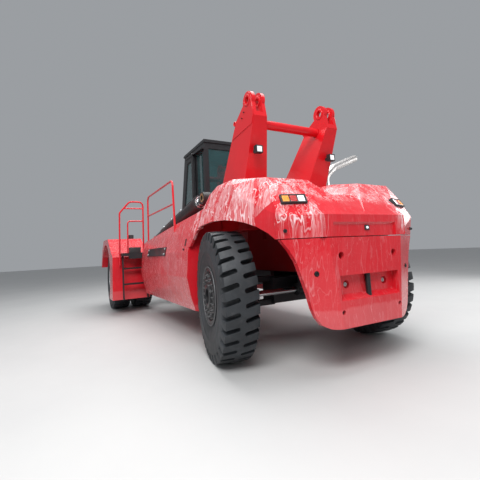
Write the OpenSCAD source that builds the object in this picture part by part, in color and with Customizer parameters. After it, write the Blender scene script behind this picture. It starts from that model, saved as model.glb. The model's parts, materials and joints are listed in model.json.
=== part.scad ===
// Container reach stacker without its boom, as it stands during assembly.
// Millimetres. X runs forward, Y to the left, Z up. Modules are drawn from the
// middle of the rear axle on the ground, and placed() moves them to the middle of the machine.

/* [Overall] */
// Distance between the axles
wheelbase = 6000; // [5800:50:6300]
// Rear face of the counterweight behind the rear axle
rear_overhang = 1290; // [1270:5:1330]
// Front edge of the fenders ahead of the front axle
front_overhang = 960; // [950:5:1000]

/* [Wheels] */
// Outer diameter of every tyre
tyre_d = 1675; // [1650:5:1690]
// Width of every tyre
tyre_w = 440; // [430:5:450]
// Diameter of the bead seat of the rims
bead_d = 640; // [620:5:650]
// Diameter over the rim flanges
flange_d = 750; // [740:5:770]
// Wall of the rims
rim_wall = 22; // [18:1:26]
// Lateral distance between the middles of the twin pairs
front_track = 2810; // [2800:5:2830]
// Gap between the two tyres of a pair
twin_gap = 130; // [110:5:140]
// Lateral distance between the middles of the rear tyres
rear_track = 2530; // [2520:5:2550]
// Lateral distance between the kingpins
kingpin_track = 1850; // [1840:5:1860]
// Angle to which the rear wheels are turned as it stands
steer_rest = -10.5; // [-20:0.5:0]

/* [Chassis] */
// Top of the frame rails
rail_top = 1560; // [1540:5:1580]
// Underside of the rails over the axles
rail_bottom = 1080; // [1070:5:1100]
// Underside of the deep middle stretch of the rails
belly_z = 750; // [720:10:800]
// Width of each rail
rail_w = 140; // [120:5:150]
// Outer face of the rails between the steered wheels
rear_rail_y = 390; // [380:5:395]
// Outer face of the rails beside the engine and cab
mid_rail_y = 620; // [600:5:630]
// Outer face of the rails at the front axle
front_rail_y = 700; // [680:5:720]

/* [Boom posts] */
// Height of the boom pivot bores
pivot_z = 3575; // [3540:5:3620]
// Pivot bores behind the rear axle
pivot_back = 40; // [20:5:60]
// Diameter of the boom pivot bores
pivot_bore = 110; // [90:5:120]
// Outer radius of the clevis ears
ear_r = 135; // [120:5:145]
// Thickness of each clevis ear
ear_t = 55; // [45:1:60]
// Outer side of the posts
post_out_y = 790; // [775:5:800]
// Inner side of the posts at the ears
post_in_y = 570; // [560:5:580]
// Diameter of the tube between the posts
cross_tube_d = 140; // [120:5:160]

/* [Lift cylinders] */
// Height of the base pins
lift_base_z = 1780; // [1770:5:1800]
// Distance from the rear axle to the base pins
lift_base_x = 4500; // [4480:5:4520]
// Length from base pin to rod eye, closed
lift_closed = 3265; // [3240:5:3290]
// Sideways distance of the cylinders
lift_y = 950; // [945:1:955]
// Angle at which the cylinders lie
lift_rest = 10; // [9:0.5:11]
// Outer diameter of the barrels
barrel_d = 262; // [240:2:270]
// Diameter of the rods
rod_d = 170; // [150:2:180]
// Diameter of the bores in the rod eyes
lift_bore = 90; // [80:2:100]

/* [Body] */
// Height of the joint between counterweight and rear cover
split_z = 1505; // [1490:5:1520]
// Gap at that joint
split_gap = 10; // [6:1:14]
// Underside of the counterweight
ballast_bottom = 505; // [490:5:515]
// Half the width of the flat rear face at the joint
flat_half = 604; // [590:2:615]
// Front wall of the rear wheel arches
arch_front = 1000; // [995:5:1020]
// Top of the rear wheel arches
arch_top = 1819; // [1810:1:1830]
// Front end of the side bodies
side_end = 4300; // [4200:10:4320]
// Inner side of the side bodies
side_in_y = 800; // [780:5:810]
// Rear wall of the front fender boxes
fender_rear = 4650; // [4640:5:4680]
// Outer side of the front fenders
fender_out_y = 2040; // [2000:5:2060]
// Inner side of the front fenders
fender_in_y = 1160; // [1150:5:1180]
// Height of the step platforms
platform_z = 1420; // [1400:5:1440]

/* [Cab] */
// Rear face of the cab
cab_rear = 1900; // [1880:5:1920]
// Front face of the cab at the floor
cab_front = 3450; // [3400:10:3500]
// Half the width of the cab
cab_half = 680; // [660:5:690]
// Underside of the cab floor
cab_floor = 1880; // [1860:5:1900]
// Top of the cab walls
cab_top = 3560; // [3540:5:3580]
// Wall of the cab
cab_wall = 50; // [40:5:60]

/* [Hidden] */
$fn = 48;

red = [0.78, 0.05, 0.06];
black = [0.05, 0.05, 0.055];
steel = [0.6, 0.6, 0.62];
rubber = [0.07, 0.07, 0.075];
fit = 0.05;          // radial clearance of a shaft in its bore
seat = 0.3;          // clearance of a piece at its seat

tyre_r = tyre_d / 2;
middle_x = (wheelbase + front_overhang - rear_overhang) / 2;
front_y = front_track / 2;
twin_y = (tyre_w + twin_gap) / 2;
rear_y = rear_track / 2;
kingpin_y = kingpin_track / 2;

// Moves what is drawn from the rear axle to the middle of the machine.
module placed() translate([-middle_x, 0, 0]) children();

// Draws its children on the left and mirrored on the right.
module both_sides() for (side = [0, 1]) mirror([0, side, 0]) children();

// A box from its low corner to its high corner.
module block(low, high) translate(low) cube(high - low);

// Extrudes a side view, given as X and Z, over a stretch of Y.
module side_view(y0, y1) translate([0, y1, 0]) rotate([90, 0, 0]) linear_extrude(y1 - y0) children();

// Extrudes a rear view, given as Y and Z, over a stretch of X.
module rear_view(x0, x1)
    translate([x0, 0, 0]) rotate([90, 0, 90]) linear_extrude(x1 - x0) children();

// A cylinder along Y.
module y_rod(d, y0, y1, $fn = 48) translate([0, y0, 0]) rotate([-90, 0, 0]) cylinder(d = d, h = y1 - y0);

// A cylinder along X.
module x_rod(d, x0, x1, $fn = 48) translate([x0, 0, 0]) rotate([0, 90, 0]) cylinder(d = d, h = x1 - x0);

// Points of an arc about a centre.
function arc(c, r, a0, a1, n = 6) =
    [for (i = [0:n]) let (a = a0 + (a1 - a0) * i / n) c + r * [cos(a), sin(a)]];

// A path whose corners are rounded to a radius, as the bends of a tube.
function unit(v) = v / norm(v);
function bend(p, q, s, r, n) =
    let (u = unit(p - q), v = unit(s - q), half = acos(u * v) / 2,
         cut = r / tan(half), c = q + unit(u + v) * r / sin(half),
         a = q + u * cut - c, b = q + v * cut - c, sweep = 180 - 2 * half)
    [for (i = [0:n]) let (t = i / n) c + (sin((1 - t) * sweep) * a + sin(t * sweep) * b) / sin(sweep)];
function rounded(path, r, n = 3) = [
    path[0],
    for (i = [1:len(path) - 2]) each bend(path[i - 1], path[i], path[i + 1], r, n),
    path[len(path) - 1]];

// Sweeps a round tube along a path. The first ring stands across the first stretch.
function tangents(p) = [for (i = [0:len(p) - 1])
    unit((i == 0 ? [0, 0, 0] : unit(p[i] - p[i - 1])) + (i == len(p) - 1 ? [0, 0, 0] : unit(p[i + 1] - p[i])))];
function across(t) = unit(abs(t.z) < 0.9 ? cross(t, [0, 0, 1]) : cross(t, [1, 0, 0]));
function carried(n, t) = unit(n - (n * t) * t);
module tube(path, d, sides = 10) {
    t = tangents(path);
    n = [for (i = 0, v = across(t[0]); i < len(path); i = i + 1, v = i < len(path) ? carried(v, t[i]) : v) v];
    points = [for (i = [0:len(path) - 1]) for (k = [0:sides - 1])
        path[i] + d / 2 * (cos(360 * k / sides) * n[i] + sin(360 * k / sides) * cross(t[i], n[i]))];
    rings = len(path);
    polyhedron(points, concat(
        [[for (k = [0:sides - 1]) k]],
        [[for (k = [0:sides - 1]) (rings - 1) * sides + sides - 1 - k]],
        [for (i = [0:rings - 2]) for (k = [0:sides - 1])
            [i * sides + k, (i + 1) * sides + k, (i + 1) * sides + (k + 1) % sides, i * sides + (k + 1) % sides]]));
}

// Chassis

// Plan of one rail: inner line first, then the outer line.
ballast_front = -850;
rail_rear = ballast_front + seat;
rail_line = [[rail_rear, rear_rail_y], [850, rear_rail_y], [1070, mid_rail_y], [4300, mid_rail_y],
    [4420, front_rail_y], [wheelbase + 900, front_rail_y]];
module rail_plan() polygon(concat(
    [for (p = rail_line) p - [0, rail_w]],
    [for (i = [len(rail_line) - 1:-1:0]) rail_line[i]]));

post_foot_z = 1720;
post_foot_y = 330;
post_foot_x = [380, 1310];
lift_beam_x = [side_end + 30, fender_rear - 30];
lift_beam_y = 1120;
lift_beam_z = [1180, rail_top];
cradle_t = 80;
axle_z = tyre_r;
pivot_pin_z = axle_z + 155;
pivot_pin_d = 100;
cradle_front = 160;
cradle_rear = -480;
plate_t = 25;

module chassis() color(red) placed() {
    difference() {
        union() {
            both_sides() {
                translate([0, 0, rail_bottom]) linear_extrude(rail_top - rail_bottom) rail_plan();
                intersection() {
                    translate([0, 0, belly_z]) linear_extrude(rail_bottom - belly_z + 1) rail_plan();
                    block([1150, 0, 0], [4300, 900, 2000]);
                }
                intersection() {
                    translate([0, 0, rail_top - 1]) linear_extrude(post_foot_z - rail_top + 1) rail_plan();
                    block([post_foot_x[0], 0, 0], [post_foot_x[1], 900, 3000]);
                }
            }
            // Side plates that carry the rear cover
            both_sides() block([rail_rear, rear_rail_y - plate_t, rail_top - 1],
                [post_rear_x(trough_z) - 8, rear_rail_y, trough_z - cover_wall - seat]);
            // Cross members: rear face and half length
            for (row = [[rail_rear, rear_rail_y - 20], [560, rear_rail_y - 20], [3200, mid_rail_y - 20],
                [4000, mid_rail_y - 20], [wheelbase + 820, front_rail_y - 20]])
                block([row[0], -row[1], rail_bottom + 40], [row[0] + 80, row[1], rail_top - 40]);
            block([lift_beam_x[0], -lift_beam_y, lift_beam_z[0]], [lift_beam_x[1], lift_beam_y, lift_beam_z[1]]);
            // Outriggers that carry the fenders: rear face and front face
            both_sides() for (row = [[fender_rear + 60, fender_rear + 160], [wheelbase + 850, wheelbase + 900]])
                block([row[0], front_rail_y - 20, 1180], [row[1], fender_in_y - seat, 1340]);
            for (x = [cradle_front, cradle_rear])
                block([x, -rear_rail_y + 10, axle_z + 40], [x + cradle_t, rear_rail_y - 10, rail_bottom + 1]);
            both_sides() for (x = [1400, 2600, 3900])
                block([x, mid_rail_y - 1, 900], [x + 60, side_in_y, 1500]);
        }
        translate([0, 0, pivot_pin_z]) x_rod(pivot_pin_d + 2 * fit, -600, 400);
    }
}

// Boom posts: side view of a plate, leaning back from its foot to the ears
module post_side() union() {
    polygon([[post_foot_x[0] + 60, post_foot_z], [-200, 3300], [-pivot_back - ear_r + 15, pivot_z - 60],
        [-pivot_back + ear_r - 15, pivot_z - 60], [330, 3390], [440, 3230], [post_foot_x[1], post_foot_z + 180],
        [post_foot_x[1], post_foot_z]]);
    translate([-pivot_back, pivot_z]) circle(ear_r);
}

// Rear view of the left post: vertical outside, widening inwards to its foot.
module post_back() polygon([[post_foot_y, post_foot_z], [post_out_y, post_foot_z], [post_out_y, 3800],
    [post_in_y, 3800], post_kink[1], post_kink[0]]);

post_kink = [[410, 2450], [post_in_y, 3300]];
function post_inner_y(z) = lookup(z, [[post_kink[0].y, post_kink[0].x], [post_kink[1].y, post_kink[1].x]]);
ear_slot_z = 3370;
post_reach = 1500;

// A welded box up to the slot, with two ears standing on it.
module boom_post() {
    intersection() {
        side_view(0, post_reach) intersection() {
            post_side();
            translate([-post_reach, 0]) square([2 * post_reach, ear_slot_z]);
        }
        rear_view(-post_reach, post_reach) post_back();
    }
    for (y = [post_in_y, post_out_y - ear_t]) difference() {
        side_view(y, y + ear_t) intersection() {
            post_side();
            translate([-post_reach, ear_slot_z + seat]) square([2 * post_reach, post_reach]);
        }
        translate([-pivot_back, 0, pivot_z]) y_rod(pivot_bore, post_in_y - ear_t, post_out_y + ear_t);
    }
}
module boom_posts() color(red) placed() both_sides() boom_post();

cross_tube_x = 60;
cross_tube_z = 3290;
cross_tube_half = post_inner_y(cross_tube_z - cross_tube_d / 2) - seat;
module cross_tube() color(red) placed()
    translate([cross_tube_x, 0, cross_tube_z]) y_rod(cross_tube_d, -cross_tube_half, cross_tube_half);

// Axles

axle_tube_d = 400;
shaft_rise = 60;
shaft_flange = 360;
spindle_d = 220;
front_hub_in = front_y - twin_y - 200;
front_hub_out = front_y + twin_y - 40;
module front_axle() color(black) placed() translate([wheelbase, 0, axle_z]) {
    y_rod(axle_tube_d, -front_hub_in + 20, front_hub_in - 20);
    y_rod(620, -240, 240);
    translate([0, 0, shaft_rise]) x_rod(200, -shaft_flange, -200);
    both_sides() {
        y_rod(spindle_d, front_hub_in - 30, front_hub_out - 30);
        block([-190, front_rail_y - rail_w, 150], [190, front_rail_y, rail_bottom - axle_z]);
    }
}

beam_w = 280;
beam_h = 340;
beam_end = kingpin_y - 330;
yoke_in = 125;
yoke_out = 195;
yoke_r = 84;
kingpin_d = 90;
steer_arm = 260;
steer_x = -steer_arm * cos(steer_rest);
rod_shift = -steer_arm * sin(steer_rest);
steer_rod_d = 76;
steer_barrel_d = 165;
steer_barrel_half = 300;
module steer_axle() color(black) placed() translate([0, 0, axle_z]) {
    difference() {
        union() {
            block([-beam_w / 2, -beam_end, -beam_h / 2], [beam_w / 2, beam_end, beam_h / 2]);
            translate([0, 0, pivot_pin_z - axle_z]) x_rod(170, -beam_w / 2, beam_w / 2);
        }
        translate([0, 0, pivot_pin_z - axle_z]) x_rod(pivot_pin_d + 2 * fit, -200, 200);
    }
    translate([0, 0, pivot_pin_z - axle_z])
        x_rod(pivot_pin_d, cradle_rear - 20, cradle_front + cradle_t + 20);
    both_sides() for (s = [0, 1]) mirror([0, 0, s]) difference() {
        union() {
            translate([0, kingpin_y, yoke_in]) cylinder(r = yoke_r, h = yoke_out - yoke_in);
            block([-70, beam_end - 60, yoke_in], [70, kingpin_y, yoke_out]);
        }
        translate([0, kingpin_y, 0]) cylinder(d = kingpin_d + 2 * fit, h = 400);
    }
    translate([steer_x, 0, 0]) difference() {
        union() {
            y_rod(steer_barrel_d, -steer_barrel_half, steer_barrel_half);
            both_sides() block([0, 180, -60], [-beam_w / 2 - steer_x, 240, 60]);
        }
        y_rod(steer_barrel_d - 30, -steer_barrel_half + 50, steer_barrel_half - 50);
        y_rod(steer_rod_d + 2 * fit, -500, 500);
    }
}

eye_half = 45;
plate_in = 48;
plate_out = 70;
rear_spindle_d = 130;
rear_hub_in = 130;
module knuckle() {
    difference() {
        union() {
            cylinder(r = 92, h = 2 * (yoke_in - 4), center = true);
            y_rod(rear_spindle_d, 0, rear_y - kingpin_y + 60);
            y_rod(200, 0, rear_hub_in - 6);
            for (s = [0, 1]) mirror([0, 0, s]) difference() {
                union() {
                    translate([-steer_arm, 0, plate_in]) cylinder(r = 44, h = plate_out - plate_in);
                    block([-steer_arm, -44, plate_in], [0, 44, plate_out]);
                }
                translate([-steer_arm, 0, 0]) cylinder(d = 44, h = 200);
            }
        }
    }
    cylinder(d = kingpin_d, h = 2 * yoke_out + 30, center = true);
}
module left_knuckle() color(black) placed()
    translate([0, kingpin_y, axle_z]) rotate([0, 0, steer_rest]) knuckle();
module right_knuckle() color(black) placed()
    translate([0, -kingpin_y, axle_z]) rotate([0, 0, steer_rest]) mirror([0, 1, 0]) knuckle();

module steer_rod() color(steel) placed() translate([steer_x, rod_shift, axle_z]) {
    difference() {
        union() {
            y_rod(steer_rod_d, -kingpin_y + 30, kingpin_y - 30);
            for (y = [-kingpin_y, kingpin_y]) translate([0, y, 0]) cylinder(r = 40, h = 2 * eye_half, center = true);
        }
        for (y = [-kingpin_y, kingpin_y]) translate([0, y, 0]) cylinder(d = 40, h = 200, center = true);
    }
}

// Wheels, drawn about the Y axis with the outside towards +Y

// Half a tyre's section: shares of its radius and of half its width
tyre_section = [[0.62, 0.98], [0.70, 1], [0.78, 1], [0.88, 0.97], [0.965, 0.91], [0.988, 0.885], [0.997, 0.5], [1, 0]];
bead_share = 0.78;
bead_a = tyre_w / 2 * bead_share;
side_r = tyre_r * tyre_section[0].x;
side_a = tyre_w / 2 * tyre_section[0].y;
flange_a = bead_a + (side_a - bead_a) * (flange_d - bead_d) / 2 / (side_r - bead_d / 2) + 1;
module tyre() rotate([-90, 0, 0]) rotate_extrude() polygon([
    for (p = concat([[bead_d / tyre_d, bead_share]], tyre_section)) [tyre_r * p.x, -tyre_w / 2 * p.y],
    for (i = [len(tyre_section) - 2:-1:0]) let (p = tyre_section[i]) [tyre_r * p.x, tyre_w / 2 * p.y],
    [bead_d / 2, tyre_w / 2 * bead_share]]);

rim_seat_r = bead_d / 2 - seat;
module rim(disc_y) rotate([-90, 0, 0]) rotate_extrude() union() {
    polygon([
        [flange_d / 2, -flange_a - 16], [flange_d / 2, -flange_a], [rim_seat_r, -bead_a - 1],
        [rim_seat_r, bead_a + 1], [flange_d / 2, flange_a], [flange_d / 2, flange_a + 16],
        [rim_seat_r, bead_a + 24], [rim_seat_r - rim_wall, bead_a - 10],
        [rim_seat_r - rim_wall, -bead_a + 10], [rim_seat_r, -bead_a - 24]]);
    translate([80, disc_y - 14]) square([rim_seat_r - 90, 28]);
}

rear_hub_d = 330;
module rear_rim() difference() {
    union() {
        rim(40);
        y_rod(rear_hub_d, -rear_y + kingpin_y + rear_hub_in, 110);
    }
    y_rod(rear_spindle_d + 2 * fit, -400, 75);
}
module left_steered() placed() translate([0, kingpin_y, axle_z]) rotate([0, 0, steer_rest])
    translate([0, rear_y - kingpin_y, 0]) children();
module right_steered() placed() translate([0, -kingpin_y, axle_z]) rotate([0, 0, steer_rest])
    mirror([0, 1, 0]) translate([0, rear_y - kingpin_y, 0]) children();
module left_rear_tyre() color(rubber) left_steered() tyre();
module right_rear_tyre() color(rubber) right_steered() tyre();
module left_rear_rim() color(black) left_steered() rear_rim();
module right_rear_rim() color(black) right_steered() rear_rim();

module front_tyre_pair() for (y = [-twin_y, twin_y]) translate([0, y, 0]) tyre();
module front_rim_pair() difference() {
    union() {
        translate([0, -twin_y, 0]) rim(60);
        translate([0, twin_y, 0]) rim(-60);
        y_rod(400, front_hub_in - front_y, front_hub_out - front_y);
    }
    y_rod(spindle_d + 2 * fit, front_hub_in - front_y - 10, front_hub_out - front_y - 28);
}
module front_wheel_place() placed() translate([wheelbase, front_y, axle_z]) children();
module left_front_tyres() color(rubber) front_wheel_place() front_tyre_pair();
module left_front_rims() color(steel) front_wheel_place() front_rim_pair();
module right_front_tyres() mirror([0, 1, 0]) left_front_tyres();
module right_front_rims() mirror([0, 1, 0]) left_front_rims();

// Engine and driveline

module engine() color([0.3, 0.32, 0.34]) placed() block([1100, -390, 800], [2180, 390, 1630]);
module driveline() color(black) placed() {
    block([2400, -280, 800], [3100, 280, 1400]);
    translate([0, 0, axle_z + shaft_rise]) x_rod(130, 3100, wheelbase - shaft_flange - seat);
    translate([0, 0, 1150]) x_rod(300, 2180, 2400);
}

// Counterweight

chamfer_a = 22.8;     // turn of the chamfers from the rear face
chamfer_lean = 2.9;   // lean of the chamfers inwards to their foot
pocket_half = 480;
pocket_z = [855, 1072];
pocket_lip = 800;
pocket_back = 85;
// Outer side of the counterweight: Y and Z down the edge of the arch
ballast_side = [[1095, 1495], [1010, 1376], [942, 1250], [880, 1052], [832, 900], [800, 743], [760, 640],
    [700, 560], [610, 515], [540, 505]];
module ballast_rear_view() polygon(concat(
    [for (p = ballast_side) [-p.x, p.y == 1495 ? split_z - split_gap : p.y == 505 ? ballast_bottom : p.y]],
    [for (i = [len(ballast_side) - 1:-1:0]) let (p = ballast_side[i])
        [p.x, p.y == 1495 ? split_z - split_gap : p.y == 505 ? ballast_bottom : p.y]]));

// Side view of a rear arch: the curved edge of the counterweight, the lip of the cover, the front wall.
module arch_view() polygon([
    [arch_front, 300], [arch_front, 1430], [arch_front - 220, 1740], [500, arch_top - 22], [140, arch_top],
    [-250, arch_top - 22], [-464, 1767], [-623, 1726], [-784, 1665], [-933, 1575], [-1024, 1492], [-1054, 1376],
    [-1075, 1251], [-1091, 1052], [-1106, 834], [-1118, 700], [-1140, 560], [-1171, 500], [-1171, 300]]);
module chamfer_cut() translate([-rear_overhang, flat_half, split_z])
    rotate([0, 0, -chamfer_a]) rotate([0, -chamfer_lean, 0]) block([-900, -900, -1400], [0, 1500, 200]);
module on_chamfer(y, z) translate([-rear_overhang + (y - flat_half + (split_z - z) * 0.13) * tan(chamfer_a), y, z])
    rotate([0, 0, -chamfer_a]) children();
module counterweight() color(red) placed() difference() {
    rear_view(-rear_overhang, -600) ballast_rear_view();
    both_sides() {
        chamfer_cut();
        side_view(rear_rail_y - 10, 1400) arch_view();
        on_chamfer(740, 1110) x_rod(60, -60, 60);
    }
    block([ballast_front, -rear_rail_y + 8, 0], [0, rear_rail_y - 8, 2000]);
    side_view(-pocket_half, pocket_half) polygon([
        [-rear_overhang - 10, pocket_lip], [-rear_overhang, pocket_lip], [-rear_overhang + pocket_back, pocket_z[0]],
        [-rear_overhang + pocket_back, pocket_z[1]], [-rear_overhang - 10, pocket_z[1]]]);
    for (y = [-436, 436]) translate([0, y, 1293]) x_rod(84, -rear_overhang - 10, -rear_overhang + 120);
    for (y = [-315, 315]) translate([0, y, 962]) x_rod(90, -rear_overhang, -rear_overhang + pocket_back + 70);
    for (y = [-463, 463]) translate([0, y, 677]) x_rod(52, -rear_overhang - 10, -rear_overhang + 80);
    translate([-rear_overhang + tow_pin_in, 0, 620]) cylinder(d = tow_pin_d, h = pocket_z[1] + 100 - 620);
}

tow_pin_d = 60;
tow_pin_in = 50;
module tow_pin() color(black) placed()
    translate([-rear_overhang + tow_pin_in, 0, 620 + seat]) cylinder(d = tow_pin_d - 2 * seat, h = pocket_z[1] + 100 - 620 - 2 * seat);

// Rear cover: two humps and the trough between them, as a shell over the engine bay and wheels

cover_wall = 40;
cover_front = arch_front - seat;
trough_z = 2060;
hump_front = 660;

// One hump between its plan outlines, each row a height and the outline's corners.
module hump(g) hull() {
    for (row = [
        [g > 0 ? split_z - 20 : split_z, [[-rear_overhang + g, 0], [-rear_overhang + g, flat_half], [-1087 + g, 1087 - g],
            [-330, 1345 - g], [hump_front - g, 1385 - g], [hump_front - g, 0]]],
        [1750, [[-rear_overhang + g, 0], [-rear_overhang + g, flat_half], [-1110 + g, 1110 - g],
            [-330, 1360 - g], [hump_front - g, 1372 - g], [hump_front - g, 0]]],
        [2040, [[-962 + g, 257 + g], [-962 + g, 960 - g], [-930 + g, 1120 - g], [-560, 1285 - g],
            [hump_front - g, 1270 - g], [hump_front - g, 257 + g]]],
        [2245, [[-822 + g, 450 + g], [-805 + g, 1054 - g], [-730, 1130 - g], [-300, 1235 - g],
            [470 - g, 1225 - g], [470 - g, 450 + g]]],
        [hump_top_z - g, [[-250, 475 + g], [-200, 1175 - g], [260, 1190 - g], [280, 475 + g]]]])
        translate([0, 0, row[0]]) linear_extrude(0.5) polygon(row[1]);
}
hump_top_z = 2342;
module trough(g) side_view(-700, 700) polygon([
    [-rear_overhang + g, g > 0 ? split_z - 20 : split_z], [-rear_overhang + g, 1755], [-962 + g, 2045 - g],
    [-700, trough_z - g], [cover_front + g, trough_z - g], [cover_front + g, g > 0 ? split_z - 20 : split_z]]);

// The stretch from the hump to the side body, of the side body's own section.
module shoulder(g) intersection() {
    rear_view(hump_front - 60, cover_front + g) body_section(g);
    side_view(0, 1500) polygon([[hump_front - 60, g > 0 ? split_z - 20 : split_z],
        [hump_front - 60, side_top_z(hump_front) + 20 - g], [cover_front + g, side_top_z(arch_front) - g],
        [cover_front + g, g > 0 ? split_z - 20 : split_z]]);
}
module rear_cover() color(red) placed() difference() {
    union() {
        both_sides() {
            hump(0);
            shoulder(0);
        }
        trough(0);
    }
    both_sides() {
        hump(cover_wall);
        shoulder(cover_wall);
    }
    trough(cover_wall);
    both_sides() side_view(480, 1600) arch_view();
    // Recess over the joint
    side_view(-520, 520) polygon([[-rear_overhang - 10, split_z - 10], [-rear_overhang + 24, split_z - 10],
        [-rear_overhang + 24, 1640], [-rear_overhang - 10, 1680]]);
    both_sides() side_view(300, post_out_y + 12) offset(delta = 12) post_side();
    both_sides() tail_lamp(seat);
}

// Side bodies, fenders and platforms

// Top edge of the side bodies: X and Z
side_top = [[hump_front - 200, 2105], [arch_front, 2048], [2250, 1936], [side_end, 1712]];
function side_top_z(x) = lookup(x, side_top);
module body_section(g) polygon([
    [side_in_y, 540 + g], [1230, 490 + g], [1310 - g, 510], [1380 - g, 750], [1430 - g, 1030], [1405 - g, 1430],
    [1330 - g, 1750], [1200 - g, 2110], [side_in_y, 2110]]);
module side_bodies() color(red) placed() both_sides() difference() {
    intersection() {
        rear_view(arch_front, side_end) body_section(0);
        side_view(700, 1500) polygon([[side_end, 400], [arch_front, 400], side_top[1], side_top[2], side_top[3]]);
    }
    // Channel in which the lift cylinder lies
    translate([lift_base_x, lift_y, lift_base_z]) rotate([0, lift_rest, 0])
        block([-1500, -barrel_d / 2 - 25, -barrel_d / 2 - 15], [0, barrel_d / 2 + 25, 400]);
}

module front_fenders() color(red) placed() both_sides() difference() {
    side_view(fender_in_y, fender_out_y) polygon([
        [fender_rear, 370], [fender_rear, 1400], [fender_rear + 220, 1500], [wheelbase - 440, 1890],
        [wheelbase + 440, 1890], [wheelbase + 800, 1620], [wheelbase + front_overhang, 1250],
        [wheelbase + front_overhang, 1120], [wheelbase + 850, 1120], [wheelbase + 850, axle_z], [wheelbase, axle_z],
        [wheelbase - 600, 370]]);
    translate([wheelbase, 0, axle_z]) y_rod(2 * (tyre_r + 75), 1100, 2200, $fn = 96);
}

step_w = 560;
step_in_y = 1250;
module ladders() color(black) placed() both_sides() {
    for (y = [step_in_y, step_in_y + step_w])
        side_view(y, y + 30) polygon([[4340, 390], [4420, 390], [4560, platform_z], [4480, platform_z]]);
    for (z = [750, 1120]) let (x = 4380 + (z - 390) * 0.136)
        block([x - 40, step_in_y + 20, z - 20], [x + 50, step_in_y + step_w + 10, z + 20]);
}

platform_t = 70;
platform_out_y = 1860;
module platforms() color(black) placed() both_sides() {
    block([side_end + 10, lift_beam_y + seat, platform_z], [fender_rear - seat, platform_out_y, platform_z + platform_t]);
    block([side_end + 10, 1330, platform_z - 70], [side_end + 120, 1700, platform_z]);
}

guard_y = platform_out_y + 21 + seat;
rail_x = [2000, 4100];
rail_y = 1290;
rail_foot_t = 12;
function slant_y(z) = 1330 - (z - 1750) * 130 / 360 + seat;
module rear_rails() color(red) placed() both_sides() {
    tube(rounded([[rail_x[1], rail_y, side_top_z(rail_x[1]) + 5], [rail_x[1], rail_y, 2810],
        [rail_x[0] + 80, rail_y, 2810], [rail_x[0], rail_y, 1930]], 110), 42);
    tube([[rail_x[1], rail_y, 2350], [rail_x[0] + 40, rail_y, 2350]], 36);
    // Foot plate on the body's top and gusset on its slanted side
    side_view(rail_y - 40, rail_y + 40) polygon([for (p = [[-45, seat], [45, seat], [45, rail_foot_t], [-45, rail_foot_t]])
        [rail_x[1] + p.x, side_top_z(rail_x[1] + p.x) + p.y]]);
    rear_view(rail_x[0] - 15, rail_x[0] + 15) polygon([
        [slant_y(1950), 1950], [rail_y + 15, 1950], [slant_y(1810) + 10, 1810], [slant_y(1810), 1810]]);
}
guard_x = 4560;
guard_in_y = 1310;
module front_rails() color(red) placed() both_sides() {
    x = guard_x;
    tube(rounded([[x, guard_y, 1200], [x, guard_y, 2480], [x, 1640, 2770], [x, guard_in_y, 2770],
        [x, guard_in_y, platform_z + platform_t + seat]], 110), 42);
    tube([[x, guard_in_y, 2600], [x, 1770, 2600]], 36);
    tube(rounded([[x, guard_in_y, 2280], [x, 1690, 2280], [x, 1690, platform_z + platform_t + seat]], 60), 36);
}

deck_z = 1640;
bonnet_half = 300;
bonnet_front = 1860;
bonnet_rear = arch_front + 10;
bonnet_z = 2010;
bonnet_t = 50;
bonnet_hinge_d = 36;
module deck() color(black) placed() {
    difference() {
        block([post_foot_x[1] + 30, -side_in_y + 2, rail_top + 20], [side_end, side_in_y - 2, deck_z]);
        block([1330, -430, 1500], [2220, 430, 1800]);
    }
    both_sides() for (x = [1500, 2500, 3500])
        block([x, mid_rail_y - rail_w, rail_top + seat], [x + 100, mid_rail_y, rail_top + 21]);
    // Walls of the engine bay under the bonnet
    difference() {
        block([post_foot_x[1] + 30, -bonnet_half, deck_z - 1], [bonnet_front, bonnet_half, bonnet_z - seat]);
        block([post_foot_x[1], -bonnet_half + 30, deck_z - 100], [bonnet_front - 30, bonnet_half - 30, 2500]);
    }
}

module engine_bonnet() color(red) placed() {
    block([bonnet_rear, -bonnet_half, bonnet_z], [bonnet_front, bonnet_half, bonnet_z + bonnet_t]);
    both_sides() {
        translate([bonnet_rear - 22, 0, bonnet_z + bonnet_t + seat + bonnet_hinge_d / 2]) y_rod(bonnet_hinge_d, 160, 240);
        block([bonnet_rear - 20, 160, bonnet_z + bonnet_t + seat + 4], [bonnet_rear + 60, 240, bonnet_z + bonnet_t + 22]);
        block([bonnet_rear, 160, bonnet_z + bonnet_t - 1], [bonnet_rear + 60, 240, bonnet_z + bonnet_t + 22]);
    }
}

// Cab

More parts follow.
